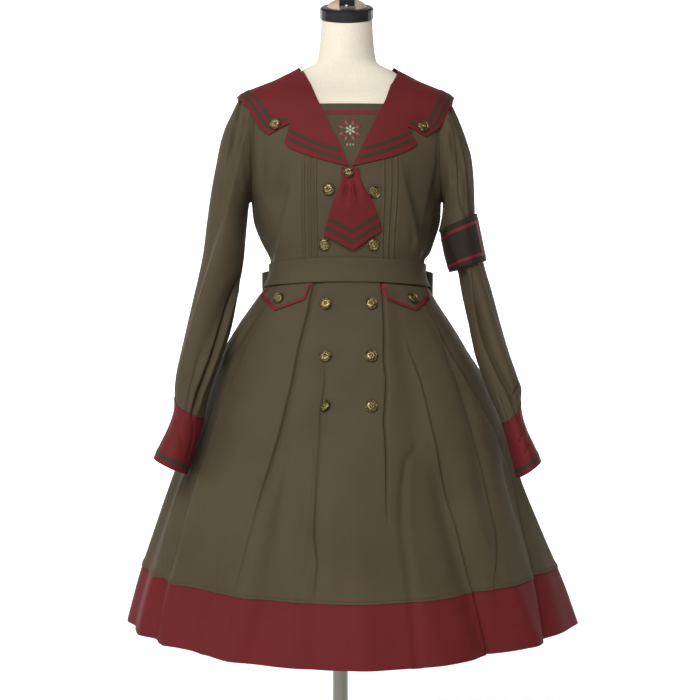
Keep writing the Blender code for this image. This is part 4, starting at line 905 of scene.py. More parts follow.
# Drag lines of the bodice, as the crisp folds of the skirt; path: height and x in mm, strength
BODICE_FOLDS = {
    "left facet": (-1, 16, 7.5, 30, [
        (992, -138.5, 0), (998, -137.3, 50), (1019, -130.5, 90), (1045, -124, 100), (1084, -115, 100),
        (1110, -108, 70), (1135, -102, 0)]),
    "left ridge": (-1, 3.6, 1.4, 6, [
        (992, -130.5, 0), (998, -129.3, 60), (1019, -122.7, 80), (1045, -116.3, 100),
        (1084, -107.8, 100), (1110, -101.5, 80), (1130, -98, 0)]),
    "left trough": (0, 6, 8.5, 10, [
        (1030, -129, 0), (1050, -126.5, 80), (1090, -120.5, 100), (1120, -116, 100), (1148, -109.5, 70),
        (1172, -103, 0)]),
    "left side line": (-1, 7.5, 1.8, 12, [
        (1035, -128, 0), (1050, -129, 80), (1075, -134.5, 100), (1100, -146, 60), (1115, -152, 0)]),
    "left armhole": (0, 4, 7, 10, [
        (1112, -145, 0), (1130, -146, 100), (1185, -145, 100), (1215, -145, 30), (1240, -145, 0)]),
    "right facet": (1, 17, 8, 40, [
        (992, 125, 0), (998, 124, 60), (1045, 116.5, 100), (1071, 111, 100), (1110, 101, 90),
        (1140, 94, 50), (1165, 89, 0)]),
    "right fold": (1, 4.6, 1.4, 8, [
        (992, 117.5, 0), (998, 116.5, 60), (1017, 113.2, 80), (1045, 108.5, 100), (1071, 103.3, 100),
        (1110, 93.5, 90), (1135, 87.4, 60), (1165, 82, 0)]),
    "right side fold": (1, 9, 3, 16, [
        (1000, 116, 0), (1045, 121.3, 90), (1105, 133, 100), (1157, 140, 100), (1190, 141, 50),
        (1220, 142, 0)]),
    "right small fold": (0, 3.6, 4, 10, [
        (1020, 96, 0), (1040, 99, 100), (1060, 96, 60), (1080, 93, 0)]),
}


# How far in a fold may go before the cloth meets the form
ROOM_INSIDE = 0.0084


def bodice_relief(angles, heights):
    """Drag lines on the bodice, as a lift of the cloth."""
    x = figure_point(angles, heights)[..., 0]
    relief = crisp_sum(BODICE_FOLDS, heights / MM, lambda line: x - line * MM)
    relief = np.where(relief < 0, -ROOM_INSIDE * np.tanh(-relief / ROOM_INSIDE), relief)
    return relief * ease(0.0, 0.18, np.cos(angles))


# A pintuck's section: distance from its middle in half widths, share of its height
TUCK_PROFILE = [(-1.6, 0.0), (-1.0, 0.10), (-0.6, 0.75), (-0.1, 1.0), (0.4, 0.95), (0.8, 0.55),
                (1.0, -0.1), (1.4, -0.45), (2.2, 0.0)]
# Columns of the front's grid between the middle and the tucks, and from there to the side
MIDDLE_COLUMNS = 20
SIDE_COLUMNS = 40


def front_columns(name, height):
    """Angles of one half of the front from the middle line out, and the share of tuck on each."""
    side = -1 if name == "left" else 1
    share = ease(1.010, 1.150, height)
    first_x = read(V_EDGE, name, height) if height > V_POINT + 1e-5 else V_EDGE["left"][0]
    stops = [(side * figure_angle(first_x, height), 0.0)]
    for bust, waist in TUCKS[name]:
        for away, top in TUCK_PROFILE:
            x = waist + (bust - waist) * share + side * away * TUCK_HALF_WIDTH
            stops.append((side * figure_angle(x, height), top))
    first, tuck = stops[0][0], stops[1][0]
    middle = [(first + (tuck - first) * n / MIDDLE_COLUMNS, 0.0) for n in range(1, MIDDLE_COLUMNS)]
    last = stops[-1][0]
    edge = [(last + (bodice_limit(height, "front") - last) * n / SIDE_COLUMNS, 0.0)
            for n in range(1, SIDE_COLUMNS + 1)]
    return np.array([stops[0]] + middle + stops[1:] + edge).T


# %% Bodice front and back
stops = [np.linspace(a, b, 4) for a, b in zip(BODICE_HEIGHTS[:-1], BODICE_HEIGHTS[1:])]
heights = np.unique(np.round(np.concatenate(stops), 6))
joined = int(np.searchsorted(heights, V_POINT - 1e-5))
rows = heights[:, None]
halves = []
front_outer = {}
for side, name in ((-1, "left"), (1, "right")):
    spread = front_columns(name, V_POINT)[0]
    shares = (spread - spread[0]) / (spread[-1] - spread[0])
    angles = []
    lifts = []
    for height in heights:
        lines, tops = front_columns(name, height)
        if height > V_POINT + 1e-5:
            first = side * figure_angle(read(V_EDGE, name, height), height)
            spread = first + (bodice_limit(height, "front") - first) * shares
            lines = lines + (spread - lines) * ease(1.18, 1.25, height)
        shown = ease(1.006, 1.012, height) * (1 - ease(1.160, 1.178, height))
        angles.append(side * lines)
        lifts.append(tops * shown * TUCK_HEIGHT)
    angles = np.array(angles)
    relief = bodice_relief(angles, rows)
    # The folds die out towards the armhole, where the sleeve is sewn on
    relief[:, -SIDE_COLUMNS:] *= 1 - ease(0.80, 1.0, np.arange(1, SIDE_COLUMNS + 1) / SIDE_COLUMNS)
    outer = lifted(figure_point, angles, rows, np.array(lifts) + relief)
    inner = lifted(figure_point, angles, rows, relief - CLOTH)
    front_outer[name] = outer
    halves.append(wall_data(outer, inner, zero=0, open_first=joined))
halves[0][2][:, 0] *= -1
bodice = hang(welded("dress_bodice_front", halves, olive_twill), "bodice_front")
front_grid = np.concatenate([front_outer["left"][:, ::-1], front_outer["right"][:, 1:]], 1)
cloth(bodice, front_grid)

shares = np.linspace(1, -1, 121)
angles = np.array([math.pi - shares * bodice_limit(height, "back") for height in heights])
seam = -0.0007 * bump(angles - math.pi, 0.006)
outer = lifted(figure_point, angles, rows, seam)
inner = lifted(figure_point, angles, rows, -CLOTH)
sewn("bodice_back", outer, inner, olive_twill, ["form_torso"])

# %% [markdown]
# ## Sleeves, cuffs and armband
#
# A sleeve is a chain of flattened rings from the armhole down to the cuff. The top of the
# sleeve is gathered into the armhole and its lower end into the cuff, so long soft folds
# start at both. Each fold is a line round and along the sleeve that pushes the cloth in or
# out. The cuff is a firm band with a point at its outer side and one olive tape.

# %% Sleeve sizes
# Sleeves: the outer and inner ends of each ring as seen from the front, where its middle lies
# in depth, and half its depth. Station 0 is the armhole and 1 the cuff's lower edge.
SLEEVE_COLUMNS = "station/% outer_x/mm outer_z/mm inner_x/mm inner_z/mm y/mm half_depth/mm"
SLEEVES = {
    "left": table(SLEEVE_COLUMNS, [
        (0, -167, 1290.5, -166.8, 1105, 4, 60),
        (2, -174.5, 1287.2, -169.4, 1105, 4, 60),
        (5, -183, 1280, -171.4, 1103, 3, 61),
        (9, -191, 1269, -172.2, 1099.5, 2, 62),
        (14, -200, 1252, -172.6, 1095, 0, 63),
        (19, -210.3, 1231, -173, 1089, -2, 63),
        (24, -218.7, 1205, -173.4, 1081.5, -4, 63),
        (30, -225.6, 1172, -174.1, 1072, -7, 62),
        (36, -234, 1130, -175.2, 1060, -12, 61),
        (43, -243.4, 1069, -176.8, 1035, -18, 59),
        (50, -250, 1017, -179.5, 1003, -25, 57),
        (57, -256, 982, -184, 972, -34, 55),
        (64, -263.3, 944.2, -189, 937.6, -46, 53),
        (70, -271.3, 902.7, -197, 892.8, -60, 51),
        (76, -278, 860, -208, 854, -78, 49),
        (81, -282.1, 825.1, -219.4, 819.4, -93, 47),
        (85, -283.2, 798.5, -228.2, 790, -105, 44),
        (88, -282.2, 774, -236, 750, -116, 41),
        (100, -312.8, 688.6, -261.4, 663.4, -138, 40),
    ]),
    "right": table(SLEEVE_COLUMNS, [
        (0, 152, 1290.5, 151.8, 1105, 4, 60),
        (2, 159.2, 1287.2, 154.4, 1105, 4, 60),
        (5, 167, 1280, 156.4, 1103, 3, 61),
        (9, 173, 1269, 157.2, 1099.5, 1, 62),
        (14, 180, 1252, 156.4, 1095, -1, 63),
        (19, 187, 1233, 155.2, 1089, -3, 64),
        (24, 194.5, 1209, 153.4, 1081.5, -6, 64),
        (30, 201, 1183, 151.5, 1072, -10, 64),
        (36, 204.5, 1140.5, 150, 1060, -14, 63),
        (43, 206.2, 1095, 151.6, 1045, -19, 60),
        (50, 212, 1045, 162, 1015, -26, 57),
        (57, 220.1, 1003.3, 176.6, 987, -34, 55),
        (64, 233, 955, 184.5, 945, -46, 53),
        (70, 245, 904, 193.5, 900, -60, 51),
        (76, 257.5, 857, 202, 854, -74, 49),
        (81, 270, 816.9, 215, 812, -88, 46),
        (85, 275.8, 795, 224.5, 786, -96, 43),
        (88, 273.5, 769, 243.7, 742, -104, 41),
        (100, 303.5, 682.7, 266.5, 655.7, -118, 40),
    ]),
}
CAP_END = 0.34
CUFF_TOP = 0.880
CUFF_POINT = 0.014
CUFF_POINT_WIDTH = 0.55
CUFF_SEAM = 0.0009
CUFF_LIFT = 0.0012
CUFF_CLOTH = 0.0018
CUFF_TAPE = (0.835, 0.905)
SLEEVE_HEAD_GAP = 0.0005

# Sleeve folds: turn round the sleeve at the start and end in degrees (0 outer side, 90 front),
# stations between which the fold shows, its width in degrees and its depth
FOLD_COLUMNS = "turn_start turn_end start/% end/% width depth/mm"
SLEEVE_FOLDS = {
    "left": table(FOLD_COLUMNS, [
        (165, 60, 52, 90, 22, -6),
        (100, 35, 42, 86, 24, 4),
        (60, 70, 6, 50, 20, -3),
        (25, 45, 6, 45, 18, 2.8),
        (250, 300, 20, 75, 24, -4.5),
        (320, 250, 40, 90, 24, -4),
    ]),
    "right": table(FOLD_COLUMNS, [
        (150, 75, 55, 90, 22, -5.5),
        (105, 40, 56, 86, 24, 3.5),
        (185, 185, 10, 40, 50, 8),
        (72, 62, 6, 44, 14, -4.2),
        (40, 38, 6, 40, 14, -3.4),
        (56, 50, 8, 38, 12, 3),
        (255, 300, 20, 75, 24, -4.5),
        (320, 250, 42, 90, 24, -4),
    ]),
}
ARMBAND = table(SLEEVE_COLUMNS, [
    (0, 209.7, 1087, 147.4, 1050, -18, 67.1),
    (50, 217.4, 1047.5, 153.2, 1019, -26, 66.1),
    (100, 224.4, 1008.1, 161.6, 988.8, -34, 63.1),
])
GATHERS = {
    "left": table(FOLD_COLUMNS, [
        (66, 78, 1, 14, 5, -3.6),
        (50, 54, 1, 14, 5, 3.4),
        (30, 32, 1, 16, 6, -4),
        (12, 10, 1, 14, 6, 3),
        (106, 100, 82, 91, 5, 2.2),
        (97, 92, 85, 90, 4, -2.2),
        (70, 58, 80, 91, 5, -2),
        (54, 42, 82, 91, 5, 1.6),
        (34, 20, 78, 91, 6, -2.2),
        (10, -4, 80, 91, 7, 1.8),
        (335, 340, 5, 60, 9, -3),
        (300, 310, 10, 75, 9, 2.6),
        (275, 290, 60, 91, 7, -3),
        (240, 262, 62, 91, 7, 2.6),
        (210, 235, 60, 91, 8, -3),
    ]),
    "right": table(FOLD_COLUMNS, [
        (66, 58, 1, 18, 5, 3.2),
        (28, 24, 1, 22, 5, 3.6),
        (4, 0, 3, 44, 6, 1.8),
        (100, 96, 3, 30, 9, -1.6),
        (118, 108, 80, 91, 6, -2.4),
        (104, 96, 84, 91, 5, 2),
        (66, 58, 80, 91, 5, 2),
        (44, 38, 84, 91, 5, -2),
        (22, 12, 80, 91, 6, 1.8),
        (335, 340, 5, 44, 9, -3),
        (300, 310, 50, 85, 9, 2.6),
        (275, 290, 60, 91, 7, -3),
        (240, 262, 62, 91, 7, 2.6),
        (210, 235, 60, 91, 8, -3),
    ]),
}

# Crisp folds of the sleeves, as those of the skirt; path: station, turn, strength.
# 1 falls towards the inner side of the arm, -1 towards its outer side
CRISP_SLEEVE_FOLDS = {
    "left": {
        "main fold": (0, 10, 3.4, 12, [
            (45, 168, 0), (50, 165, 80), (54, 165, 100), (58, 160, 100), (61, 149, 100), (66, 137, 100),
            (70, 132, 100), (77, 129, 100), (83, 124, 100), (86, 117, 100), (87.5, 112, 70),
            (89, 110, 0)]),
        "lit strip": (0, -4.5, 4, 10, [
            (56, 178, 0), (60, 172, 70), (66, 153, 100), (70, 146, 100), (77, 144, 100), (83, 141, 100),
            (86, 134, 100), (88, 130, 0)]),
        "inner fold": (0, 6.5, 3, 8, [
            (64, 162, 0), (68, 160, 80), (72, 153, 100), (77, 160, 100), (81, 167, 100), (85, 165, 100),
            (87, 162, 70), (89, 158, 0)]),
        "outer fold": (1, 4.5, 2.2, 7, [
            (74, 93, 0), (78, 90, 60), (81, 89, 100), (86, 86, 100), (88, 82, 80), (89, 80, 0)]),
        "shoulder facet": (-1, 14, 6, 30, [
            (1, 40, 0), (4, 56, 60), (9, 75, 100), (17, 86, 100), (28, 89, 100), (37, 84, 100),
            (43, 76, 100), (48, 66, 100), (54, 59, 90), (62, 52, 70), (69, 44, 60), (74, 40, 40),
            (82, 39, 0)]),
        "shoulder ridge": (-1, 4, 1.6, 8, [
            (1, 47, 0), (4, 64, 60), (9, 83, 100), (17, 94, 100), (28, 97, 100), (37, 92, 100),
            (43, 84, 100), (48, 74, 100), (54, 67, 90), (62, 60, 70), (69, 52, 60), (74, 48, 40),
            (82, 47, 0)]),
        "shoulder trough": (0, 9, 7.5, 10, [
            (3, 12, 0), (6, 22, 70), (10, 37, 100), (15, 47, 100), (19, 58, 80), (26, 66, 0)]),
        "cuff crease": (0, 2.2, 5, 10, [
            (89, 40, 0), (91, 60, 90), (92.5, 85, 100), (94, 105, 70), (96, 118, 0)]),
        "cuff inner crease": (0, 2, 3, 10, [
            (89, 118, 0), (90.5, 126, 100), (92.5, 138, 100), (95, 140, 80), (97, 136, 0)]),
    },
    "right": {
        "long fold": (-1, 12, 2, 12, [
            (2, 33, 0), (6, 38, 100), (14, 47, 100), (20, 52, 100), (25, 57, 100), (31, 60, 100),
            (36, 57, 100), (42, 57, 100), (46, 57, 80), (50, 57, 0)]),
        "front fold": (-1, 6.5, 2.8, 12, [
            (2, 42, 0), (5, 46, 60), (12, 58, 60), (18, 71, 60), (23, 86, 70), (30, 96, 80),
            (37, 90, 100), (42, 76, 100), (46, 66, 80), (50, 60, 0)]),
        "outer fold": (-1, 9.5, 2, 10, [
            (4, 12, 0), (9, 18, 100), (17, 20, 100), (22, 23, 100), (28, 16, 60), (34, 12, 90),
            (42, 16, 100), (46, 20, 60), (50, 25, 0)]),
        "main fold": (-1, 12, 2.4, 14, [
            (55, 98, 0), (60, 106, 60), (65, 120, 80), (69, 125, 100), (73, 122, 100), (77, 111, 100),
            (82, 99, 100), (85, 91, 100), (87, 84, 100), (88, 81, 60), (89.5, 80, 0)]),
        "edge fold": (-1, 5, 2.6, 10, [
            (54, 57, 0), (57, 57, 100), (62, 57, 100), (66, 55, 80), (70, 48, 50), (76, 44, 0)]),
        "low crease": (0, 4.5, 2.8, 10, [
            (81, 30, 0), (83, 36, 100), (85, 60, 100), (86.5, 84, 80), (88, 92, 0)]),
        "low gather": (0, 3.5, 2.6, 10, [
            (84, 122, 0), (86, 126, 100), (87.5, 132, 100), (89, 140, 0)]),
        "band fold": (1, 9.5, 3, 24, [
            (38, 150, 0), (43, 142, 100), (50, 132, 100), (57, 125, 100), (60, 122, 0)]),
        "cuff crease": (0, 2.6, 5, 10, [
            (89, 30, 0), (91.5, 50, 100), (93, 90, 100), (93.6, 120, 60), (94.5, 140, 0)]),
        "cuff lower crease": (0, 2.2, 5, 10, [
            (92.5, 20, 0), (94.5, 45, 100), (96, 90, 80), (97, 130, 0)]),
    },
}
SLEEVE_PUFF = 0.0060


def armhole_point(side, turn, lift):
    """Point of the armhole's edge; turn 0 is its top and 90 degrees its front."""
    height = ARMHOLE_MIDDLE + ARMHOLE_REACH * np.cos(turn)
    centre = read(FIGURE, "centre", height)
    front_angle = figure_angle(centre + read(ARMHOLE, "front", height), height)
    back_angle = math.pi - figure_angle(centre + read(ARMHOLE, "back", height), height)
    angle = side * np.where(np.sin(turn) >= 0, front_angle, back_angle)
    return lifted(figure_point, angle, height, lift)


def ring_point(source, turn, station):
    """Point of a flattened ring of a sleeve; turn 0 is its outer side and 90 degrees its front."""
    names = "outer_x outer_z inner_x inner_z y half_depth"
    outer_x, outer_z, inner_x, inner_z, y, half_depth = measures(source, names, station)
    outer = np.stack([outer_x, 0 * station, outer_z], -1)
    inner = np.stack([inner_x, 0 * station, inner_z], -1)
    middle = 0.5 * (outer + inner)
    middle[..., 1] = y
    depth = np.stack([0 * station, -half_depth, 0 * station], -1)
    reach = 0.5 * (outer - inner)
    return middle + reach * np.cos(turn)[..., None] + depth * np.sin(turn)[..., None]


def sleeve_relief(name, turn, station):
    """How far the sleeve's folds and gathers push it out or in."""
    names = "outer_x outer_z inner_x inner_z half_depth"
    outer_x, outer_z, inner_x, inner_z, half_depth = measures(SLEEVES[name], names, station)
    reach = np.hypot(0.5 * (outer_x - inner_x), 0.5 * (outer_z - inner_z))

    def distance_from(degrees):
        line = np.radians(degrees)
        return wrapped(turn - line) * np.hypot(reach * np.sin(line), half_depth * np.cos(line))

    sharp = crisp_sum(CRISP_SLEEVE_FOLDS[name], station / PERCENT, distance_from)
    puff = SLEEVE_PUFF * ease(0.0, 0.03, station) * (1 - ease(0.08, 0.30, station))
    sharp = sharp + puff * bump(wrapped(turn - math.radians(115)), 0.75)
    relief = np.zeros(np.shape(turn))
    for folds in (SLEEVE_FOLDS[name], GATHERS[name]):
        rows = rows_of(folds, "turn_start turn_end start end width depth")
        for turn_start, turn_end, start, end, width, depth in rows:
            share = np.clip((station - start) / (end - start), 0, 1)
            line = np.radians(turn_start + (turn_end - turn_start) * share)
            shown = ease(start, start + 0.08, station) * (1 - ease(end - 0.08, end, station))
            relief = relief + depth * shown * bump(wrapped(turn - line), math.radians(width))
    return relief * (1 - 0.8 * ease(0.90, 0.93, station)) + sharp


def sleeve_point(name, turn, station):
    """Point on the sleeve's outer face, from the armhole to the cuff's lower edge."""
    turn, station = np.broadcast_arrays(turn, station)
    side = -1 if name == "left" else 1
    source = SLEEVES[name]
    ring = ring_point(source, turn, station)
    first = ring_point(source, turn, 0 * station)
    away = armhole_point(side, turn, 0.0) - first
    blended = ring + away * (1 - ease(0.0, CAP_END, station))[..., None]
    out = unit(ring - ring_point(source, turn + math.pi, station))
    return blended + out * sleeve_relief(name, turn, station)[..., None]


def tube_normals(points):
    """Outward unit normals of a closed tube of rings."""
    along = np.roll(points, -1, 1) - np.roll(points, 1, 1)
    up = np.gradient(points, axis=0)
    normal = unit(np.cross(along, up))
    middle = points.mean(axis=1, keepdims=True)
    facing = ((points - middle) * normal).sum((0, 1, 2))
    return normal * np.sign(facing)


def cuff_seam(turn):
    """Station of the seam between sleeve and cuff, higher at the cuff's outer point."""
    return CUFF_TOP - CUFF_POINT * bump(wrapped(turn), CUFF_POINT_WIDTH)


# %% Sleeves and cuffs
TURNS = turns_round(180)
TAPE_LIFT = 0.0005
TAPE_SEAT = -0.0001


def tape_round(name, middle, normals, low, high, finish, carrier):
    """A tape sewn round a tube between two shares of its rows."""
    rows = np.linspace(low, high, 5) * (len(middle) - 1)
    first = np.minimum(rows.astype(int), len(middle) - 2)
    share = (rows - first)[:, None, None]
    points = middle[first] * (1 - share) + middle[first + 1] * share
    out = normals[first] * (1 - share) + normals[first + 1] * share
    return sewn_on(name, points + out * TAPE_LIFT, points + out * TAPE_SEAT, finish, carrier, closed=True)


for side, name in ((-1, "left"), (1, "right")):
    # Rows stand closer where the sleeve is gathered, at its head and above the cuff
    shares = np.concatenate([np.linspace(0, 0.10, 14)[:-1], np.linspace(0.10, 0.85, 80)[:-1],
                             np.linspace(0.85, 1, 26)])
    outer = sleeve_point(name, TURNS, shares[:, None] * cuff_seam(TURNS))
    edge = outer[0].copy()
    outer[0] = edge + unit(outer[1] - edge) * SLEEVE_HEAD_GAP
    normals = tube_normals(outer)
    # At its head the sleeve's wall turns into the bodice's, so that their edges meet
    bodice_normal = armhole_point(side, TURNS[0], 1.0) - edge
    share = ease(-0.9, -0.3, np.cos(TURNS[0]))[:, None]
    normals[0] = unit(bodice_normal * share + normals[0] * (1 - share))
    sewn("sleeve_" + name, outer, outer - normals * CLOTH, olive_twill,
         ["bodice_front", "bodice_back"], closed=True)

    start = cuff_seam(TURNS) + CUFF_SEAM
    middle = sleeve_point(name, TURNS, start + (1.0 - start) * column_of(0, 1, 25))
    normals = tube_normals(middle)
    outer = middle + normals * CUFF_LIFT
    tape = tape_round("cuff_tape_" + name, outer, normals, *CUFF_TAPE, olive_tape, "cuff_" + name)
    sewn("cuff_" + name, outer, outer - normals * CUFF_CLOTH, burgundy_twill,
         ["sleeve_" + name], closed=True)

# %% Armband
# The fold down the band: side, depth, edge, fall; its turn at the upper edge, and how far
# it turns back to the lower edge; the band's half width and half depth there
BAND_FOLD = (1, 8.5, 2.6, 24, None)
BAND_FOLD_TURN = 142
BAND_FOLD_RUN = 17
BAND_REACH = 0.031
BAND_DEPTH = 0.066
# The upper edge rises at the inner corner
CORNER_RISE = 0.0070
CORNER_TURN = math.radians(155)
# Tapes: shares of the band's height, and the columns and rows of the upright one
BAND_TAPES = {"upper": (0.13, 0.20), "lower": (0.82, 0.89)}
UPRIGHT = np.s_[8:34, 17:23]

turns, stations = np.broadcast_arrays(TURNS, column_of(0, 1, 41))
line = np.radians(BAND_FOLD_TURN - BAND_FOLD_RUN * stations)
reach = np.hypot(BAND_REACH * np.sin(line), BAND_DEPTH * np.cos(line))
crease = fold_profile(BAND_FOLD, wrapped(turns - line) * reach)
crease = crease - 0.0010 * bump(wrapped(turns - math.radians(60)), 0.25)
outer = ring_point(ARMBAND, turns, stations)
outer[..., 2] += CORNER_RISE * bump(wrapped(turns - CORNER_TURN), 1.1) * (1 - stations) ** 2
normals = tube_normals(outer)
outer = outer + normals * crease[..., None]
tapes = [tape_round("armband_tape_" + name, outer, normals, *shares, burgundy_tape, "armband")
         for name, shares in BAND_TAPES.items()]
face, out = outer[UPRIGHT], normals[UPRIGHT]
tapes.append(sewn_on("armband_tape_upright", face + out * TAPE_LIFT, face + out * TAPE_SEAT,
                     burgundy_tape, "armband"))
sewn("armband", outer, outer - normals * FIRM_CLOTH, armband_twill, ["sleeve_right"],
     closed=True)

# %% [markdown]
# ## Collar
#
# The collar is one wide piece with two lapels at the front, cut in at a notch, and a flap
# that runs over each shoulder and down the back as a square. Row by row it is given by three
# places: at the neck, at the notch's line and at the outer edge. Two olive tapes follow the
# outer edges. Because the collar's surface can be evaluated anywhere, a tape is a strip of
# the same surface between two distances from the edge, lifted by half a millimetre.

# %% Collar sizes
# The collar, row by row from the point of the V up to the shoulder ridge and down the back.
# Front rows give x; the ridge and the back give degrees from front centre. Each row runs from
# the neck side through the notch's line to the outer edge.
LAPELS = {
    "left": table("row inner_x/mm inner_z/mm outer_x/mm outer_z/mm", [
        (0, 3.6, 1154.6, 4.2, 1154),
        (1, 8, 1165, 35.4, 1161.8),
        (2, 15, 1181, 72.6, 1173.5),
        (3, 22.5, 1198.5, 103.4, 1188.7),
        (4, 30, 1214, 106.2, 1196.6),
        (5, 37, 1228.5, 101.6, 1211.8),
        (6, 45, 1245, 99, 1225.4),
    ]),
    "right": table("row inner_x/mm inner_z/mm outer_x/mm outer_z/mm", [
        (0, 1.6, 1155.2, 2.2, 1154.6),
        (1, 9, 1168, 28.7, 1160.5),
        (2, 15, 1181, 75.5, 1174.5),
        (3, 23.5, 1199, 105.7, 1193.5),
        (4, 30.5, 1214, 100.3, 1203.5),
        (5, 38, 1229, 95.4, 1210.4),
        (6, 45.5, 1244, 89.9, 1220.7),
    ]),
}
FLAP_COLUMNS = "row inner_x/mm inner_z/mm notch_x/mm notch_z/mm outer_x/mm outer_z/mm"
FRONT_FLAPS = {
    "left": table(FLAP_COLUMNS, [
        (0, 45, 1245, 99, 1225.4, 132.8, 1208.4),
        (1, 54, 1264, 106, 1244, 148.3, 1224.4),
        (2, 62.5, 1284, 113, 1263, 158.2, 1242),
        (3, 71, 1305, 119, 1284, 168.7, 1260.4),
    ]),
    "right": table(FLAP_COLUMNS, [
        (0, 45.5, 1244, 89.9, 1220.7, 119.9, 1206),
        (1, 54.5, 1262, 97.5, 1241, 141.9, 1224.6),
        (2, 62, 1283, 104.5, 1261, 151.3, 1242.6),
        (3, 70, 1302, 110, 1283, 159.3, 1262.4),
    ]),
}
BACK_FLAP = table("row inner_angle inner_z/mm notch_angle notch_z/mm outer_angle outer_z/mm", [
    (4, 90, 1330, 90, 1310, 90, 1280.3),
    (5, 126, 1328.5, 112, 1299, 115, 1262),
    (6, 180, 1325, 142, 1283, 121, 1238),
    (7, 180, 1275, 150, 1241, 123, 1205),
    (8, 180, 1207, 150, 1189, 121, 1170),
    (9, 180, 1140, 149, 1139, 118, 1138),
])

# How much further the collar stands off on the shoulder ridge and over the sleeve heads
COLLAR_RIDGE_LIFT = 0.0012
COLLAR_SLEEVE_LIFT = 0.0050
COLLAR_BACK_LIFT = 0.0030


def joined_edge(name, place):
    """One line of the flap, front and back in one, as rows with a turn and a height."""
    side = -1 if name == "left" else 1
    flap = FRONT_FLAPS[name]
    front = side * figure_angle(side * flap[place + "_x"], flap[place + "_z"])
    turns = np.concatenate([front, np.radians(BACK_FLAP[place + "_angle"])])
    levels = np.concatenate([flap[place + "_z"], BACK_FLAP[place + "_z"]])
    return {"key": np.concatenate([flap["key"], BACK_FLAP["key"]]), "turn": turns, "level": levels}


def flap_place(name, row, share):
    """Angle and height on the flap: share is -1 at the neck, 0 at the notch's line, 1 at the edge."""
    side = -1 if name == "left" else 1
    inner, notch, outer = [measures(joined_edge(name, place), "turn level", row)
                           for place in ("inner", "notch", "outer")]
    near = [b + (b - a) * share for a, b in zip(inner, notch)]
    far = [b + (c - b) * share for b, c in zip(notch, outer)]
    turn, level = [np.where(share < 0, a, b) for a, b in zip(near, far)]
    return side * turn, level


def lapel_place(name, row, share):
    """Angle and height on a lapel, from the neck (share 0) to its outer edge (1)."""
    side = -1 if name == "left" else 1
    inner_x, inner_z, outer_x, outer_z = measures(LAPELS[name], "inner_x inner_z outer_x outer_z", row)
    start = side * figure_angle(side * inner_x, inner_z)
    end = side * figure_angle(side * outer_x, outer_z)
    return side * (start + (end - start) * share), inner_z + (outer_z - inner_z) * share


def collar_lift(angles, heights):
    """Room under the collar: it rises over the armhole seams at the shoulders."""
    across = np.abs(np.sin(angles)) * read(FIGURE, "half_width", heights)
    ridge = COLLAR_RIDGE_LIFT * ease(1.235, 1.262, heights)
    behind = COLLAR_BACK_LIFT * (1 - ease(-0.2, 0.1, np.cos(angles)))
    down = 1 - 0.8 * ease(1.266, 1.286, heights)
    return LAYER_GAP + ridge + (COLLAR_SLEEVE_LIFT + behind) * down * ease(0.120, 0.165, across)


def collar_top(places, lift=0.0):
    """Points on the collar's upper face, or a little above it."""
    angles, heights = places
    return lifted(figure_point, angles, heights, collar_lift(angles, heights) + FIRM_CLOTH + lift)


# %% The collar
walls = []
area = 0.0
for name in ("left", "right"):
    for place, rows, shares in ((flap_place, column_of(0, 9, 127), row_of(-1, 1, 49)),
                                (lapel_place, column_of(0, 6, 61), row_of(0, 1, 33))):
        places = place(name, rows, shares + 0 * rows)
        outer = collar_top(places)
        walls.append(wall_data(outer, collar_top(places, -FIRM_CLOTH)))
        area += grid_area(outer)
collar = hang(welded("dress_collar", walls, burgundy_twill), "collar")


def flap_band(name, rows, distance, wide):
    """Grid along the flap's outer edge, from one distance inside it and as wide as a tape."""
    edge = collar_top(flap_place(name, rows, np.ones_like(rows)))
    notch = collar_top(flap_place(name, rows, np.zeros_like(rows)))
    span = np.linalg.norm(edge - notch, axis=-1)
    shares = 1 - (distance + wide * row_of(0, 1, 5)) / span[:, None]
    return flap_place(name, np.broadcast_to(rows[:, None], shares.shape), shares)


def row_at(name, row, step, share, distance):
    """Row of the flap that lies a distance from one of its ends, measured along the cloth."""
    rows = row + step * np.linspace(0, 1, 60)
    line = collar_top(flap_place(name, rows, np.full(60, share)))
    run = np.concatenate([[0], np.cumsum(np.linalg.norm(np.diff(line, axis=0), axis=-1))])
    return np.interp(distance, run, rows)


TAPE = 0.0060
TAPE_DISTANCES = {"outer": 0.0085, "inner": 0.0205}
NOTCH_MARGIN = 0.02
# The flap's lower edge at the back: its height at the middle, how much lower it is at the
# corner, the corner's angle and its distance from the figure's axis
BACK_EDGE = 1.1398
BACK_EDGE_RUN = 0.0016
BACK_CORNER = math.radians(119.3)
BACK_CORNER_REACH = 0.135
tapes = []


def sew_tape(name, places, lift=0.0006):
    """A tape on the collar from a grid of angles and heights."""
    tapes.append(sewn_on(name, collar_top(places, lift), collar_top(places, TAPE_SEAT), olive_tape, "collar"))


def flap_tapes(name, side, which, distance):
    """One tape's run along the side of the flap and its run along the lower edge at the back."""
    low, high = row_at(name, 0, 1.2, 1.0, distance), row_at(name, 9, -0.8, 1.0, distance)
    sew_tape(f"collar_tape_{which}_{name}", flap_band(name, np.linspace(low, high, 160), distance, TAPE))
    corner = BACK_CORNER + distance / BACK_CORNER_REACH
    along, down = np.broadcast_arrays(row_of(0, 1, 60), column_of(0, 1, 5))
    turns = math.pi + (corner - math.pi) * along
    heights = BACK_EDGE - BACK_EDGE_RUN * along + distance + TAPE * down
    sew_tape(f"collar_tape_{which}_back_{name}", (side * turns, heights))


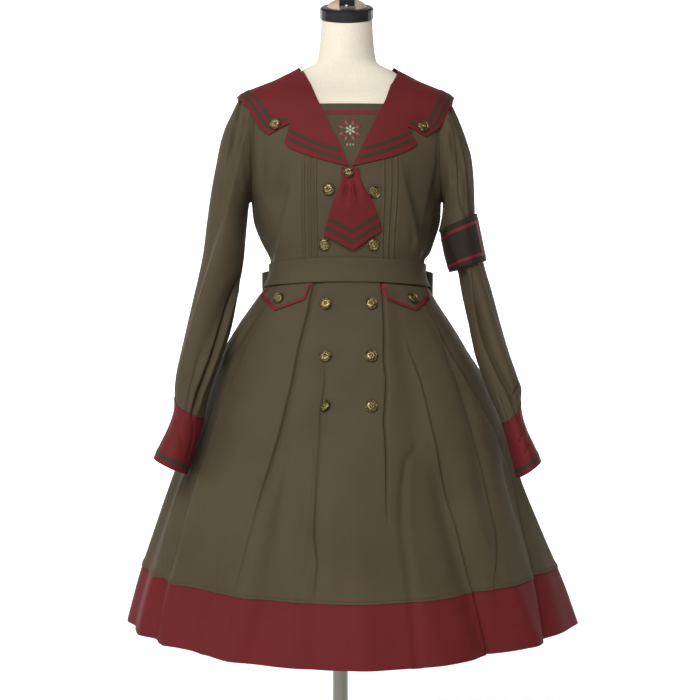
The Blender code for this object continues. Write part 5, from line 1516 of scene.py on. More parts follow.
def notch_tape(name, distance):
    """The outer tape's short end, which turns along the notch."""
    first, last = [row_at(name, 0, 1.2, 0.5, distance + more) for more in (0, TAPE)]
    rows = first + (last - first) * column_of(0, 1, 5)
    edges = [collar_top(flap_place(name, rows[:, 0], np.full(5, share))) for share in (0, 1)]
    span = np.linalg.norm(edges[1] - edges[0], axis=-1)
    shares = NOTCH_MARGIN + (1 - distance / span[:, None] - NOTCH_MARGIN) * row_of(0, 1, 60)
    sew_tape(f"collar_tape_outer_front_{name}", flap_place(name, rows + 0 * shares, shares))


for side, name in ((-1, "left"), (1, "right")):
    for which, distance in TAPE_DISTANCES.items():
        flap_tapes(name, side, which, distance)
    notch_tape(name, TAPE_DISTANCES["outer"])

# The lapels' tapes from the front: x and height of their ends at the outer edge and at the V
LAPEL_TAPES = {
    "left": [((-0.0993, 1.2128), (-0.0192, 1.1795)), ((-0.1018, 1.2015), (-0.0150, 1.1660))],
    "right": [((0.0965, 1.2118), (0.0240, 1.1840)), ((0.0985, 1.1990), (0.0150, 1.1690))],
}
LAPEL_TAPE_SLANT = 0.35
LAPEL_TAPE_SAG = 0.0030

for name, lines in LAPEL_TAPES.items():
    for which, ((x_far, z_far), (x_near, z_near)) in zip(("upper", "lower"), lines):
        along = column_of(0, 1, 50)
        down = row_of(-0.5, 0.5, 5) * TAPE * 1.05
        x = x_far + (x_near - x_far) * along + down * math.copysign(LAPEL_TAPE_SLANT, x_far)
        z = z_far + (z_near - z_far) * along - LAPEL_TAPE_SAG * np.sin(math.pi * along) + down
        sew_tape(f"lapel_tape_{which}_{name}", (figure_angle(x, z), z))
print("collar area, m2:", round(area, 4))

# %% [markdown]
# ## Dickey and tie
#
# The dickey is the square inset behind the V. It carries one burgundy tape near its top and
# an embroidered motif. The tie is a short kite-shaped blade that widens from the point of the
# collar; its gathers start under the button.

# %% Dickey and tie sizes
DICKEY_LAP = 0.010
DICKEY_GAP = 0.0012
TIE = table("drop left/mm right/mm", [
    (0, -15.5, 12),
    (0.17, -15.5, 14.5),
    (0.52, -28.9, 32.7),
    (0.75, -36, 42),
    (1, -43.3, 50),
])
TIE_TOP = 1.1515
TIE_TIP = 1.0218
TIE_LEFT_CORNER = 1.0456
TIE_RIGHT_CORNER = 1.0540
TIE_TIP_SHARE = 0.49
TIE_LIFT = 0.0030


def tie_bottom(share):
    """Height of the tie's lower edge across its width."""
    left = TIE_LEFT_CORNER + (TIE_TIP - TIE_LEFT_CORNER) * share / TIE_TIP_SHARE
    right = TIE_TIP + (TIE_RIGHT_CORNER - TIE_TIP) * (share - TIE_TIP_SHARE) / (1 - TIE_TIP_SHARE)
    return np.where(share < TIE_TIP_SHARE, left, right)


def tie_lift(share, drop):
    """The tie stands off the bodice and has creases below the button."""
    crown = TIE_LIFT * ease(0.0, 0.5, drop) * np.sin(math.pi * share) ** 0.8
    crease = 0.0016 * np.cos(5 * math.pi * (share - 0.5)) * ease(0.12, 0.3, drop)
    return LAYER_GAP + 0.0004 + crown + crease * (1 - ease(0.3, 0.6, drop)) + 0.001 * ease(0, 0.3, drop)


# %% The dickey
DICKEY_BOTTOM = 1.1500
DICKEY_TOP = 1.2606
DICKEY_TAPE = (1.2415, 1.2485)


def dickey_place(share, height, lift):
    """Point on the dickey, from its left edge (share 0) to its right edge (1)."""
    share, height = np.broadcast_arrays(share, height)
    level = np.maximum(height, V_POINT + 0.002)
    left = figure_angle(read(V_EDGE, "left", level) - DICKEY_LAP, height)
    right = figure_angle(read(V_EDGE, "right", level) + DICKEY_LAP, height)
    return lifted(figure_point, left + (right - left) * share, height, lift - CLOTH - DICKEY_GAP)


face, back = [dickey_place(row_of(0.12, 0.88, 70), column_of(*DICKEY_TAPE, 5), lift)
              for lift in (TAPE_LIFT, TAPE_SEAT)]
tape = sewn_on("dickey_tape", face, back, burgundy_tape, "dickey")
outer, inner = [dickey_place(row_of(0, 1, 81), column_of(DICKEY_BOTTOM, DICKEY_TOP, 61), lift)
                for lift in (0.0, -CLOTH)]
sewn("dickey", outer, inner, olive_twill, ["bodice_front"])


# %% Embroidery on the dickey
def satin_patch(x, height, long, wide, turn):
    """A small raised patch of satin stitch on the dickey: middle, half sizes, turn in degrees."""
    reach = np.array([0.04, 0.35, 0.65, 0.88, 1.0])[:, None]
    turns = turns_round(20)
    u = long * reach * np.cos(turns)
    v = wide * reach * np.sin(turns) * (1 - 0.35 * np.cos(turns) ** 2)
    cosine, sine = math.cos(math.radians(turn)), math.sin(math.radians(turn))
    xs = x + u * cosine - v * sine
    heights = height + u * sine + v * cosine
    crown = 0.0007 * (1 - reach ** 2) + 0.0002 + 0 * turns
    outer, inner = [lifted(figure_point, figure_angle(xs, heights), heights, lift - CLOTH - DICKEY_GAP)
                    for lift in (crown, TAPE_SEAT)]
    return wall_data(outer, inner, closed=True)


def satin_ring(count, reach, long, wide, first_turn, pointing=True):
    """Patches on a circle round the motif's middle, which point outwards."""
    patches = []
    for turn in first_turn + 360.0 / count * np.arange(count):
        x = MOTIF_X + reach * math.cos(math.radians(turn))
        height = MOTIF_HEIGHT + reach * math.sin(math.radians(turn))
        patches.append(satin_patch(x, height, long, wide, turn if pointing else 0.0))
    return patches


THREAD = {"noise": (1500.0, 3.0), "rough": 0.45, "relief": (0.0002, 0.6), "contrast": (0.3, 0.7)}
burgundy_thread = grained("burgundy thread", tones=[(88, 22, 30), (128, 36, 44)], **THREAD)
pale_thread = grained("pale thread", tones=[(140, 132, 116), (196, 188, 172)], **THREAD)
MOTIF_X = -0.0012
MOTIF_HEIGHT = 1.2150
petals = satin_ring(8, 0.0142, 0.0052, 0.0034, 22.5)
petals += satin_ring(8, 0.0180, 0.0016, 0.0016, 45.0, pointing=False)
hang(welded("dickey_embroidery_petals", petals, burgundy_thread))
pale = [satin_patch(MOTIF_X, MOTIF_HEIGHT, 0.0024, 0.0024, 0.0)]
pale += satin_ring(6, 0.0056, 0.0030, 0.0018, 30.0)
for n in (-1, 0, 1):
    pale.append(satin_patch(MOTIF_X + 0.0048 * n, MOTIF_HEIGHT - 0.0245, 0.0019, 0.0012, 90.0))
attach(welded("dickey_embroidery_star", pale, pale_thread), "root")
print("embroidered patches:", len(petals) + len(pale))


# %% The tie
def tie_place(share, drop, lift):
    """Point on the tie: share across it and drop from its top to its lower edge."""
    share, drop = np.broadcast_arrays(share, drop)
    heights = TIE_TOP + (tie_bottom(share) - TIE_TOP) * drop
    left, right = measures(TIE, "left right", drop)
    x = left + (right - left) * share
    fan = bump(share - 0.52, 0.030) + 0.7 * bump(share - 0.34, 0.035) + 0.6 * bump(share - 0.70, 0.04)
    fine = -0.0016 * fan * ease(0.20, 0.27, drop) * (1 - ease(0.30, 0.52, drop))
    return lifted(figure_point, figure_angle(x, heights), heights, tie_lift(share, drop) + fine + lift)


# The tie's two tapes, by the drops of their lower and upper edges
TIE_TAPES = {"upper": (0.788, 0.742), "lower": (0.918, 0.872)}
tapes = []
for which, drops in TIE_TAPES.items():
    face, back = [tie_place(row_of(0, 1, 71), column_of(*drops, 5), CLOTH + lift)
                  for lift in (0.0006, TAPE_SEAT)]
    tapes.append(sewn_on("tie_tape_" + which, face, back, olive_tape, "tie"))
outer, inner = [tie_place(row_of(0, 1, 61), column_of(1, 0, 61), lift) for lift in (CLOTH, 0.0)]
sewn("tie", outer, inner, burgundy_twill, ["bodice_front"])

# %% [markdown]
# ## Waistband, pocket flaps and bow
#
# The waistband covers the seam between bodice and skirt. Two pocket flaps with burgundy
# piping hang from it, and at the back a flat bow is tied whose loops show a little at both
# sides from the front.

# %% Sizes at the waist
WAISTBAND_TOP = 1.0095
WAISTBAND_BOTTOM = 0.9700
WAISTBAND_SIDE_DROP = 0.0060
WAISTBAND_CLOTH = 0.0016
WAIST_HALF_WIDTH = 0.1285
POCKET_EDGE = table("angle bottom/mm", [(24.8, 941.3), (44, 923.2), (71, 948)])
POCKET_DROP = 0.0030
POCKET_LIFT = 0.0010

# Bow at the back
BOW_X = -0.006
BOW_Y = 0.0926
BOW_HEIGHT = 0.984
LOOP_TIP = 0.150
LOOP_DEPTH = 0.024
LOOP_WIDTH = 0.066
LOOP_ROOT_WIDTH = 0.034
LOOP_SEAT = 0.462
KNOT_WIDTH = 0.034
KNOT_HEIGHT = 0.044
KNOT_DEPTH = 0.022
TAIL_START = 0.0526
TAIL_DROP = 0.52
TAIL_LIFT = 0.0050
# How a loop's end sags, bulges backwards and cups, how the tails slant, and the knot's wall
# as a share of its reach
LOOP_SAG = 0.022
LOOP_BULGE = 0.012
LOOP_CUP = 0.004
TAIL_SLANT = 0.022
KNOT_WALL = 0.18


def waistband_height(share, angle):
    """Height in the waistband from its lower edge (0) to its upper edge (1)."""
    height = WAISTBAND_BOTTOM + (WAISTBAND_TOP - WAISTBAND_BOTTOM) * share
    return height - WAISTBAND_SIDE_DROP * np.sin(angle) ** 2


# %% Waistband
for name, first, last in (("front", -90, 90), ("back", 90, 270)):
    gap = 0.5 * math.degrees(SEAM / WAIST_HALF_WIDTH)
    angles = np.radians(row_of(first + gap, last - gap, 181))
    heights = waistband_height(column_of(0, 1, 25), angles)
    roll = 0.0003 * np.sin(column_of(0, math.pi, 25)) ** 0.3
    outer, inner = [lifted(figure_point, angles, heights, LAYER_GAP + lift)
                    for lift in (WAISTBAND_CLOTH + roll, 0.0)]
    sewn("waistband_" + name, outer, inner, olive_twill, ["bodice_" + name, "skirt_" + name])

# %% Pocket flaps with piping
PIPING = 0.0046
EDGE_SINES = np.sin(np.radians(POCKET_EDGE["key"]))
POCKET_WIDTH = 0.155 * (EDGE_SINES[-1] - EDGE_SINES[0])


def pocket_place(side, share, down, lift):
    """Point on a pocket flap: share across it from the front, metres down from the waistband."""
    share, down = np.broadcast_arrays(share, down)
    angles = np.arcsin(EDGE_SINES[0] + (EDGE_SINES[-1] - EDGE_SINES[0]) * share)
    heights = waistband_height(0.0, angles) - POCKET_DROP - down
    return lifted(skirt_point, side * angles, skirt_drop(side * angles, heights), POCKET_LIFT + lift)


def pocket_depth(share):
    """How far down a pocket flap reaches, with straight edges that meet in a point."""
    sines = EDGE_SINES[0] + (EDGE_SINES[-1] - EDGE_SINES[0]) * share
    bottom = np.interp(sines, EDGE_SINES, POCKET_EDGE["bottom"])
    return waistband_height(0.0, np.arcsin(sines)) - POCKET_DROP - bottom


def inset_line(corners, inset):
    """A bent line moved to its left by an inset, with mitred corners."""
    run = np.diff(corners, axis=0)
    run = run / np.linalg.norm(run, axis=1, keepdims=True)
    left = np.stack([-run[:, 1], run[:, 0]], -1)
    turn = left[:-1] + left[1:]
    turn = turn / (turn * left[1:]).sum(1, keepdims=True)
    return corners + inset * np.concatenate([left[:1], turn, left[-1:]])


tip = (EDGE_SINES[1] - EDGE_SINES[0]) / (EDGE_SINES[2] - EDGE_SINES[0])
corners = np.array([(0, 0), (0, pocket_depth(0.0)), (tip * POCKET_WIDTH, pocket_depth(tip)),
                    (POCKET_WIDTH, pocket_depth(1.0)), (POCKET_WIDTH, 0)])
route = np.concatenate([np.linspace(n, n + 1, steps, endpoint=False)
                        for n, steps in enumerate((12, 24, 24, 12))] + [[4.0]])
for side, name in ((-1, "left"), (1, "right")):
    lines = [inset_line(corners, -inset * PIPING) for inset in (0.0, 0.5, 1.0)]
    u = np.array([np.interp(route, range(5), line[:, 0]) for line in lines]) / POCKET_WIDTH
    v = np.array([np.interp(route, range(5), line[:, 1]) for line in lines])
    crown = np.array([0.0004, 0.0011, 0.0004])[:, None]
    face = pocket_place(side, u, v, FIRM_CLOTH + crown)
    back = pocket_place(side, u, v, FIRM_CLOTH - 0.0002)
    piping = sewn_on("pocket_piping_" + name, face, back, burgundy_tape, "pocket_flap_" + name)
    shares = row_of(0, 1, 61)[:, ::side]
    downs = column_of(1, 0, 31) * pocket_depth(shares)
    outer, inner = [pocket_place(side, shares, downs, lift) for lift in (FIRM_CLOTH, 0.0)]
    sewn("pocket_flap_" + name, outer, inner, olive_twill, ["waistband_front"])

# %% Bow
def bow_loop(side):
    """Outer grid of a loop: a band that runs out from the knot, bends round and runs back."""
    near = KNOT_WIDTH * LOOP_SEAT + SEAM
    bend = 0.5 * LOOP_DEPTH
    straight = np.linspace(near, LOOP_TIP - bend, 40)[:-1]
    turns = np.linspace(-math.pi / 2, math.pi / 2, 31)
    x = np.concatenate([straight, LOOP_TIP - bend * (1 - np.cos(turns)), straight[::-1]])[None, :]
    y = np.concatenate([0 * straight, bend * (1 + np.sin(turns)), 0 * straight + LOOP_DEPTH])[None, :]
    share = (x - near) / (LOOP_TIP - near)
    pinch = ease(0.0, 0.6, share)
    width = LOOP_ROOT_WIDTH + (LOOP_WIDTH - LOOP_ROOT_WIDTH) * pinch
    levels = column_of(-0.5, 0.5, 25)
    gathers = 0.0012 * np.cos(levels * 22) * (1 - ease(0.0, 0.55, share)) * np.where(y > bend, 1.0, -1.0)
    bulge = LOOP_BULGE * share ** 2 - LOOP_CUP * np.abs(levels) * 2 * share
    depth = BOW_Y + bend + (y - bend) * (0.35 + 0.65 * pinch) + bulge + gathers
    height = BOW_HEIGHT - LOOP_SAG * share ** 1.5 + width * levels
    return np.stack([BOW_X + side * x + 0 * levels, depth, height], -1)


def bow_tail(side):
    """Angles, drops and lifts of a tail that lies down the back of the skirt."""
    drops = column_of(TAIL_DROP, TAIL_START, 80)
    share = (drops - TAIL_START) / (TAIL_DROP - TAIL_START)
    middle = math.pi - side * np.radians(5.0 + 12.5 * share ** 0.8)
    across = row_of(1, -1, 25)
    spread = (0.010 + 0.020 * ease(0.0, 0.35, share)) / read(SKIRT, "half_width", drops)
    lifts = TAIL_LIFT + 0.003 * np.cos(across * 1.5) * share + 0.002 * np.sin(5 * share) ** 2
    lifts = lifts + 0.0007 * np.cos(across * 9) * (1 - ease(0.0, 0.4, share))
    return middle - across * spread, drops + TAIL_SLANT * share * across * side, lifts


for side, name in ((-1, "left"), (1, "right")):
    outer = bow_loop(side)
    normal = unit(np.cross(np.gradient(outer, axis=1), np.gradient(outer, axis=0)))
    sewn("bow_loop_" + name, outer, outer - side * normal * CLOTH, olive_twill, ["bow_knot"])
    angles, drops, lifts = bow_tail(side)
    outer, inner = [lifted(skirt_point, angles, drops, lifts + more) for more in (CLOTH, 0.0)]
    sewn("bow_tail_" + name, outer, inner, olive_twill, ["bow_knot"])

turns = turns_round(72)
levels = column_of(-0.5, 0.5, 25)
dents = 0.03 * bump(wrapped(turns - 1.2), 0.10) + 0.03 * bump(wrapped(turns - 2.0), 0.12)
size = 1 - 0.20 * np.abs(2 * levels) ** 3 - dents
x = BOW_X + KNOT_WIDTH * 0.49 * size * np.cos(turns)
y = BOW_Y + 0.5 * LOOP_DEPTH + KNOT_DEPTH * 0.5 * size * np.sin(turns)
outer = np.stack([x, y, BOW_HEIGHT + KNOT_HEIGHT * levels + 0 * turns], -1)
middle = np.array([BOW_X, BOW_Y + 0.5 * LOOP_DEPTH, 0.0]) + outer * [0, 0, 1]
inner = outer + (middle - outer) * KNOT_WALL
sewn("bow_knot", outer, inner, olive_twill, ["waistband_back"], closed=True)

# %% [markdown]
# ## The form and its stand
#
# The form is a padded torso in cream linen with a black neck cap, on a steel pole. It is one
# smooth closed body a few millimetres inside the dress. Its pole, cap and base are the CAD
# solids: their shape is right, so they only get a better finish and softened edges.

# %% Form sizes and linen
# Room between the cloth's outer face and the form inside it
FORM_ROOM = table("height/mm side/mm front/mm back/mm", [
    (958, 16, 11, 11),
    (990, 9, 10.5, 6),
    (1080, 9.5, 10.5, 5.5),
    (1108, 9.5, 10.5, 5),
    (1156, 12, 9, 5),
    (1190, 14, 7, 5),
    (1245, 18, 6, 4.5),
    (1273, 18, 5.5, 5),
    (1281, 14.5, 5, 5),
    (1287, 8, 5, 5),
    (1290, 5.5, 5, 5),
    (1306, 4.8, 6, 5),
    (1322, 4.2, 5.8, 4.8),
    (1338, 2.8, 3, 3),
])

# The form below the waist
FORM_HIPS = table("height/mm half_width/mm front/mm back/mm centre/mm", [
    (745, 138, 88, 96, -12),
    (752, 147, 96, 105, -11.8),
    (785, 158, 106, 118, -11),
    (830, 160, 108, 118, -10),
    (880, 150, 106, 108, -9),
    (925, 136, 101, 95, -8),
    (958, 126, 99, 85, -7),
])

HIPS_TOP = FORM_HIPS["key"][-1]

# The form's neck; lean is how much a ring drops towards the front
FORM_NECK = table("height/mm half_width/mm half_depth/mm centre/mm centre_y/mm lean", [
    (1338, 55.6, 48.6, -7.5, 1, 0),
    (1345, 50, 47.8, -7.4, 0, 0.02),
    (1354, 47.8, 47, -7.3, -1.5, 0.06),
    (1368, 46, 45.5, -7.2, -4, 0.14),
    (1390, 44, 44, -7.1, -7.5, 0.26),
    (1414.5, 42.5, 43, -7, -11, 0.4),
])


def neck_ring(turns, height):
    """One ring of the neck, which leans forward towards its top."""
    names = "centre half_width half_depth centre_y lean"
    centre, half_width, half_depth, centre_y, lean = measures(FORM_NECK, names, height)
    depth = -half_depth * np.cos(turns)
    return np.stack([centre + half_width * np.sin(turns), centre_y + depth, height + lean * depth], -1)


LINEN_PITCH = 0.0014
made = Finish("form linen", 0.88)
across, along = made.grain()
warp = (across * (2 * math.pi / LINEN_PITCH)).math("SINE") * 0.5 + 0.5
weft = (along * (2 * math.pi / LINEN_PITCH)).math("SINE") * 0.5 + 0.5
slub = made.noise(260.0, 4.0)
cloud = made.noise(10.0, 3.0)
tone = warp * 0.16 + weft * 0.16 + slub * 0.42 + cloud * 0.26
made.colour(made.mixed(tone.between(0.20, 0.85), shade(228, 218, 198), shade(246, 237, 219)))
made.rough(slub * 0.10 + 0.82)
made.relief(warp * 0.5 + weft * 0.5, 0.00016, 0.5)
made.shader.inputs["Specular IOR Level"].default_value = 0.2
form_linen = made.material

turns = np.linspace(0, 2 * math.pi, 145)
rings = []
heights = [(0.745, 0.760, 6), (0.765, 0.957, 30), (0.960, 1.260, 60), (1.264, 1.328, 34)]
for height in np.concatenate([np.linspace(*stretch) for stretch in heights]):
    if height < HIPS_TOP:
        sizes = measures(FORM_HIPS, "half_width front back centre", height)
    else:
        rooms = measures(FORM_ROOM, "side front back", height)
        sizes = [size - room for size, room in zip(measures(FIGURE, "half_width front back", height), rooms)]
        sizes.append(read(FIGURE, "centre", height))
    x, y = section(turns, *sizes, FIGURE_POWER)
    rings.append(np.stack([x, y, np.full(len(turns), height)], -1))
for height in np.linspace(1.338, FORM_NECK["key"][-1], 26):
    rings.append(neck_ring(turns, height))
rings = np.array(rings)
count, sides = rings.shape[:2]
faces = [tuple(face) for face in grid_faces(count, sides, 0, False)]
faces += [tuple(range(sides - 1))[::-1], tuple((count - 1) * sides + n for n in range(sides - 1))]
grain = np.stack([arc_lengths(rings, 1), arc_lengths(rings, 0)], -1).reshape(-1, 2)
torso = hang(mesh_object("dress_form_torso", rings.reshape(-1, 3), faces, form_linen, grain), "form_torso")
print("form rings:", count)

# %% [markdown]
# ## Buttons
#
# Each button is a cast brass dome with a raised rim, aged dark in its recesses. We turn one
# from a profile and press a plain rosette into it: eight petals round a bead. All fifteen
# share that shape; each sits on the cloth that carries it, tilted a little as thread lets it.

# %% Antique brass
antique_brass = grained("antique brass", (420.0, 4.0), [(78, 68, 42), (174, 156, 110)], 0.30, 0.25,
                        (0.00005, 0.6), (0.35, 0.70), metallic=1.0)

# %% The button's shape
BUTTON_RADIUS = 0.0099
SMALL_BUTTON_RADIUS = 0.0083
COLLAR_BUTTON_RADIUS = 0.0092
POCKET_BUTTON_RADIUS = 0.0090
BUTTON_HEIGHT = 0.0044
# Rows of the face from its middle outwards, closer together on the rim, and the points of the
# underside's profile: reach as a share of the radius, level as a share of the height
FACE_ROWS = np.concatenate([np.linspace(0, 0.80, 26)[:-1], np.linspace(0.80, 1.0, 12)])[1:, None]
UNDERSIDE = np.array([(1.0, 0.40), (0.97, 0.30), (0.80, 0.27), (0.46, 0.26), (0.44, 0.0)])
BUTTON_SIDES = 72


def button_relief(reach, turn):
    """Height of the button's face as a share of its height, by reach from its middle and turn."""
    dome = 0.66 + 0.20 * np.cos(reach * math.pi / 2)
    rim = 0.30 * bump(reach - 0.89, 0.060)
    groove = -0.10 * bump(reach - 0.74, 0.045)
    petal = 0.09 * bump(reach - 0.45, 0.18) * np.abs(np.cos(4 * turn)) ** 0.7
    bead = 0.14 * bump(reach, 0.12)
    rope = 0.025 * np.cos(36 * turn) * bump(reach - 0.90, 0.05)
    return dome + rim + groove + petal + bead + rope - 0.10 * bump(reach - 0.22, 0.05)


def button_mesh(name, spot, out, radius, spin):
    """A button on a spot, facing out, as one closed turned body."""
    turns = turns_round(BUTTON_SIDES)
    radii = np.concatenate([FACE_ROWS, UNDERSIDE[:, :1]]) * radius
    face = button_relief(FACE_ROWS, turns + spin)
    levels = np.concatenate([face, UNDERSIDE[:, 1:] + 0 * turns])[..., None] * BUTTON_HEIGHT
    axis = unit(out)
    across = unit(np.cross([0.0, 0.0, 1.0], axis))
    round_axis = np.cos(turns)[..., None] * across + np.sin(turns)[..., None] * np.cross(axis, across)
    points = (spot + radii[..., None] * round_axis + levels * axis).reshape(-1, 3)
    middle = spot + axis * BUTTON_HEIGHT * float(button_relief(0.0, 0.0))
    centre = len(points)
    faces = [tuple(face) for face in grid_faces(len(radii), BUTTON_SIDES, 0, True)]
    faces += [(centre, (n + 1) % BUTTON_SIDES, n) for n in range(BUTTON_SIDES)]
    faces.append(tuple(range(centre - BUTTON_SIDES, centre)))
    faces = [face[::-1] for face in faces]
    return mesh_object(name, np.concatenate([points, [middle]]), faces, antique_brass, None, 35)


def seat_on(surface, angle, level, lift):
    """A point on a lifted surface and the direction that faces out of it."""
    low, high = [lifted(surface, angle, level, reach) for reach in (lift, lift + 0.01)]
    return low, unit(high - low)


# %% Fifteen buttons on their places
# How far each button leans, as x and height parts of the way that it faces
LEANS = {
    "skirt_1_left": (-0.10, 0.05), "skirt_2_left": (0.04, 0.10), "skirt_3_left": (-0.70, 0.42),
    "skirt_3_right": (0.05, -0.05), "pocket_left": (0.10, 0.08), "pocket_right": (0.12, 0.16),
    "bodice_upper_right": (0.14, -0.22), "bodice_lower_left": (0.10, -0.06),
}
BUTTON_GAP = SEAM + 0.0002
SKIRT_BUTTON_GAP = BUTTON_GAP + 0.0003
COLLAR_BUTTON_GAP = LAYER_GAP + FIRM_CLOTH + BUTTON_GAP
TIE_BUTTON_GAP = LAYER_GAP + CLOTH + 0.0013
POCKET_BUTTON_GAP = POCKET_LIFT + FIRM_CLOTH + SKIRT_BUTTON_GAP

# Buttons on the figure: name, x, height, radius, distance from the figure
UPPER_BUTTONS = [
    ("tie", -0.0041, 1.1440, SMALL_BUTTON_RADIUS, TIE_BUTTON_GAP),
    ("collar_left", -0.1212, 1.2255, COLLAR_BUTTON_RADIUS, COLLAR_BUTTON_GAP),
    ("collar_right", 0.1146, 1.2222, COLLAR_BUTTON_RADIUS, COLLAR_BUTTON_GAP),
    ("bodice_upper_left", -0.0359, 1.1174, BUTTON_RADIUS, BUTTON_GAP),
    ("bodice_upper_right", 0.0377, 1.1129, BUTTON_RADIUS, BUTTON_GAP),
    ("bodice_lower_left", -0.0433, 1.0310, BUTTON_RADIUS, BUTTON_GAP),
    ("bodice_lower_right", 0.0351, 1.0303, BUTTON_RADIUS, BUTTON_GAP),
]
SKIRT_BUTTON_HEIGHTS = (0.934, 0.850, 0.7715)
SKIRT_BUTTON_PLACES = {"left": -0.0405, "right": 0.0310}
POCKET_BUTTON_HEIGHT = 0.9425
POCKET_BUTTON_ANGLE = math.radians(45.0)

seats = []
for name, x, height, radius, gap in UPPER_BUTTONS:
    seats.append((name, radius, *seat_on(figure_point, figure_angle(x, height), height, gap)))
for row, height in enumerate(SKIRT_BUTTON_HEIGHTS):
    for side, x in SKIRT_BUTTON_PLACES.items():
        drop = skirt_drop(0.0, height)
        centre, half_width = measures(SKIRT, "centre half_width", drop)
        spot, out = seat_on(skirt_point, math.asin((x - centre) / half_width), drop, SKIRT_BUTTON_GAP)
        seats.append((f"skirt_{row + 1}_{side}", BUTTON_RADIUS, spot, out))
for side, name in ((-1, "left"), (1, "right")):
    angle = side * POCKET_BUTTON_ANGLE
    spot, out = seat_on(skirt_point, angle, skirt_drop(angle, POCKET_BUTTON_HEIGHT), POCKET_BUTTON_GAP)
    seats.append((f"pocket_{name}", POCKET_BUTTON_RADIUS, spot, out))
for number, (name, radius, spot, out) in enumerate(seats):
    lean_x, lean_z = LEANS.get(name, (0.0, 0.0))
    out = unit(out + np.array([lean_x, 0.0, lean_z]))
    button = button_mesh("brass_button_" + name, spot + out * 0.0002, out, radius, 0.4 * number)
    hang(button, "button_" + name)
print("buttons:", len(seats))

# %% [markdown]
# ## Metal, plastic and painted steel
#
# The stand's parts keep their CAD shape. A bevel softens their edges, which is how real edges
# catch the light, and each finish has its own grain: brushed steel, moulded plastic, enamel.

# %% Finishes of the stand
cap_plastic = grained("cap plastic", (1400.0, 2.0), [(14, 14, 15), (26, 25, 26)], 0.26, 0.12, (0.00003, 0.5))
cap_dome = grained("cap dome", (60.0, 5.0), [(176, 160, 138), (206, 192, 172)], 0.38, 0.15,
                   contrast=(0.3, 0.7))
pole_steel = grained("pole steel", (1.0, 4.0), [(140, 138, 128), (168, 166, 156)], 0.28, 0.16,
                     metallic=1.0, stretch=(900.0, 900.0, 14.0))
base_enamel = grained("base enamel", (700.0, 3.0), [(52, 52, 53), (68, 67, 66)], 0.38, 0.2,
                      (0.00004, 0.5), metallic=0.2)

# The rivet on the strap's foot: its profile as reach and height over the strap
RIVET = np.array([(0.0034, -0.0004), (0.0034, 0.0004), (0.0028, 0.0011), (0.0015, 0.0015), (0.0002, 0.0016)])
RIVET_SIDES = 32
low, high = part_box("form_cap_strap")
turns = turns_round(RIVET_SIDES)
reach, level = RIVET[:, :1], RIVET[:, 1:]
rings = np.stack([reach * np.cos(turns), 0 * turns - level, reach * np.sin(turns)], -1)
corners = np.arange(RIVET.shape[0] * RIVET_SIDES)
faces = [tuple(face) for face in grid_faces(len(RIVET), RIVET_SIDES, 0, True)]
faces += [tuple(corners[:RIVET_SIDES]), tuple(corners[:-RIVET_SIDES - 1:-1])]
spot = np.array([-0.0070, low[1] + 0.0002, low[2] + 0.0040])
hang(mesh_object("cap_rivet", spot + rings.reshape(-1, 3), faces, pole_steel))

# %% The CAD pieces of the stand
STAND_FINISHES = {
    "form_neck_cap": cap_plastic,
    "form_cap_strap": cap_plastic,
    "form_cap_dome": cap_dome,
    "form_pole": pole_steel,
    "form_base": base_enamel,
}
for node, finish in STAND_FINISHES.items():
    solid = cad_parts[node]
    for slot in solid.material_slots:
        slot.material = finish
    if node in ("form_neck_cap", "form_base"):
        edge = solid.modifiers.new("soft edges", "BEVEL")
        edge.width = 0.0008
        edge.segments = 3
        edge.angle_limit = math.radians(35)
print("stand finished")

# %% [markdown]
# ## Studio
#
# The photograph is taken from chest height with a long lens against white. A floor that
# curves up into a wall has no visible horizon. One soft light from the upper left, a weaker
# one at the left side and a bright wall behind give the soft folds their modelling.

# %% Backdrop, lights and camera
def plain_white(name, value):
    """A matt white with a barely visible unevenness."""
    made = Finish(name, 0.9)
    tones = [(tone, tone, tone, 1) for tone in (value, value + 0.01)]
    made.colour(made.mixed(made.noise(3.0, 2.0), *tones))
    return made.material


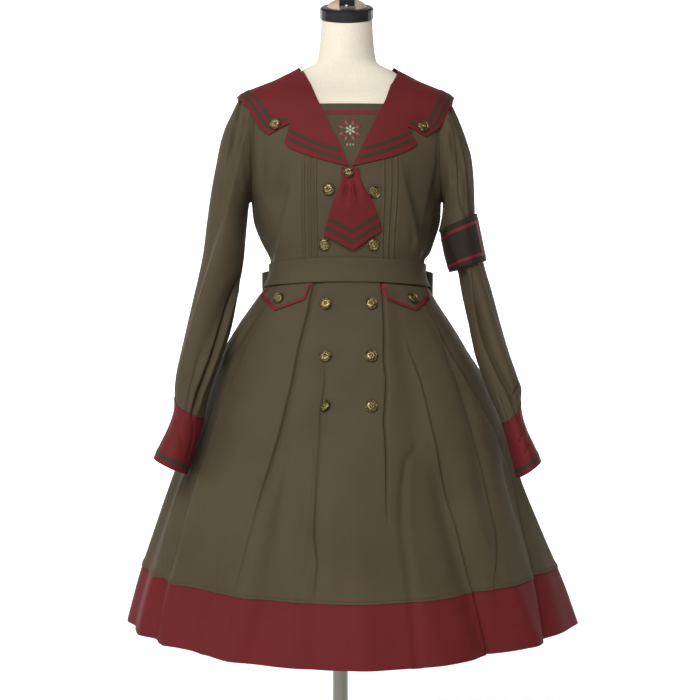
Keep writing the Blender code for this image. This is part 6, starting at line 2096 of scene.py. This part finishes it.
# The backdrop's floor begins in front of the camera, bends up behind the form and ends above it
FLOOR_FRONT = -4.0
BEND_START = 4.8
BEND_RADIUS = 1.4
WALL_TOP = 5.5
HALF_WIDTH = 6.0
bend = [(BEND_START + BEND_RADIUS * math.sin(turn), BEND_RADIUS * (1 - math.cos(turn)))
        for turn in np.linspace(0.1, math.pi / 2, 16)]
profile = [(FLOOR_FRONT, 0.0), (BEND_START, 0.0)] + bend + [(BEND_START + BEND_RADIUS, WALL_TOP)]
points = [(x, y, z) for y, z in profile for x in (-HALF_WIDTH, HALF_WIDTH)]
faces = [(2 * n, 2 * n + 1, 2 * n + 3, 2 * n + 2) for n in range(len(profile) - 1)]
studio_white = plain_white("studio white", 0.96)
backdrop = mesh_object("studio_backdrop", np.array(points) - [0, 0, 0.0005], faces, studio_white)


def soft_light(name, place, target, size, power):
    """A large square light aimed at a target."""
    data = bpy.data.lights.new(name, "AREA")
    data.size = size
    data.energy = power
    made = bpy.data.objects.new(name, data)
    made.location = place
    made.rotation_euler = (Vector(target) - Vector(place)).to_track_quat("-Z", "Y").to_euler()
    bpy.context.scene.collection.objects.link(made)


soft_light("key_light", (-0.8, -2.85, 2.7), (0, 0, 0.90), 1.7, 88)
soft_light("side_light", (-3.2, -0.9, 1.5), (0, 0, 0.8), 1.4, 20)
soft_light("wall_light_left", (-3.2, 3.0, 2.4), (0.4, 6.2, 1.1), 1.8, 230)
soft_light("wall_light_right", (3.2, 3.0, 2.4), (-0.4, 6.2, 1.1), 1.8, 230)
world = bpy.data.worlds.new("studio")
world.use_nodes = True
sky = world.node_tree.nodes["Background"].inputs
sky["Color"].default_value = (1, 1, 1, 1)
sky["Strength"].default_value = 0.21
bpy.context.scene.world = world
bpy.context.scene.view_settings.view_transform = "Standard"

# The photograph's width and its lens, both in pixels
PICTURE_WIDTH = 700
FOCAL_LENGTH = 1548
camera_data = bpy.data.cameras.new("camera")
camera_data.sensor_width = 36.0
camera_data.lens = camera_data.sensor_width * FOCAL_LENGTH / PICTURE_WIDTH
camera = bpy.data.objects.new("camera", camera_data)
camera.location = (-0.0017, -2.6, 0.86)
camera.rotation_euler = (math.radians(90), 0, 0)
bpy.context.scene.collection.objects.link(camera)
bpy.context.scene.camera = camera
print("lens, mm:", round(camera_data.lens, 1))

# %% Sizes
print("cut sizes, m and m2:", cut_sizes)
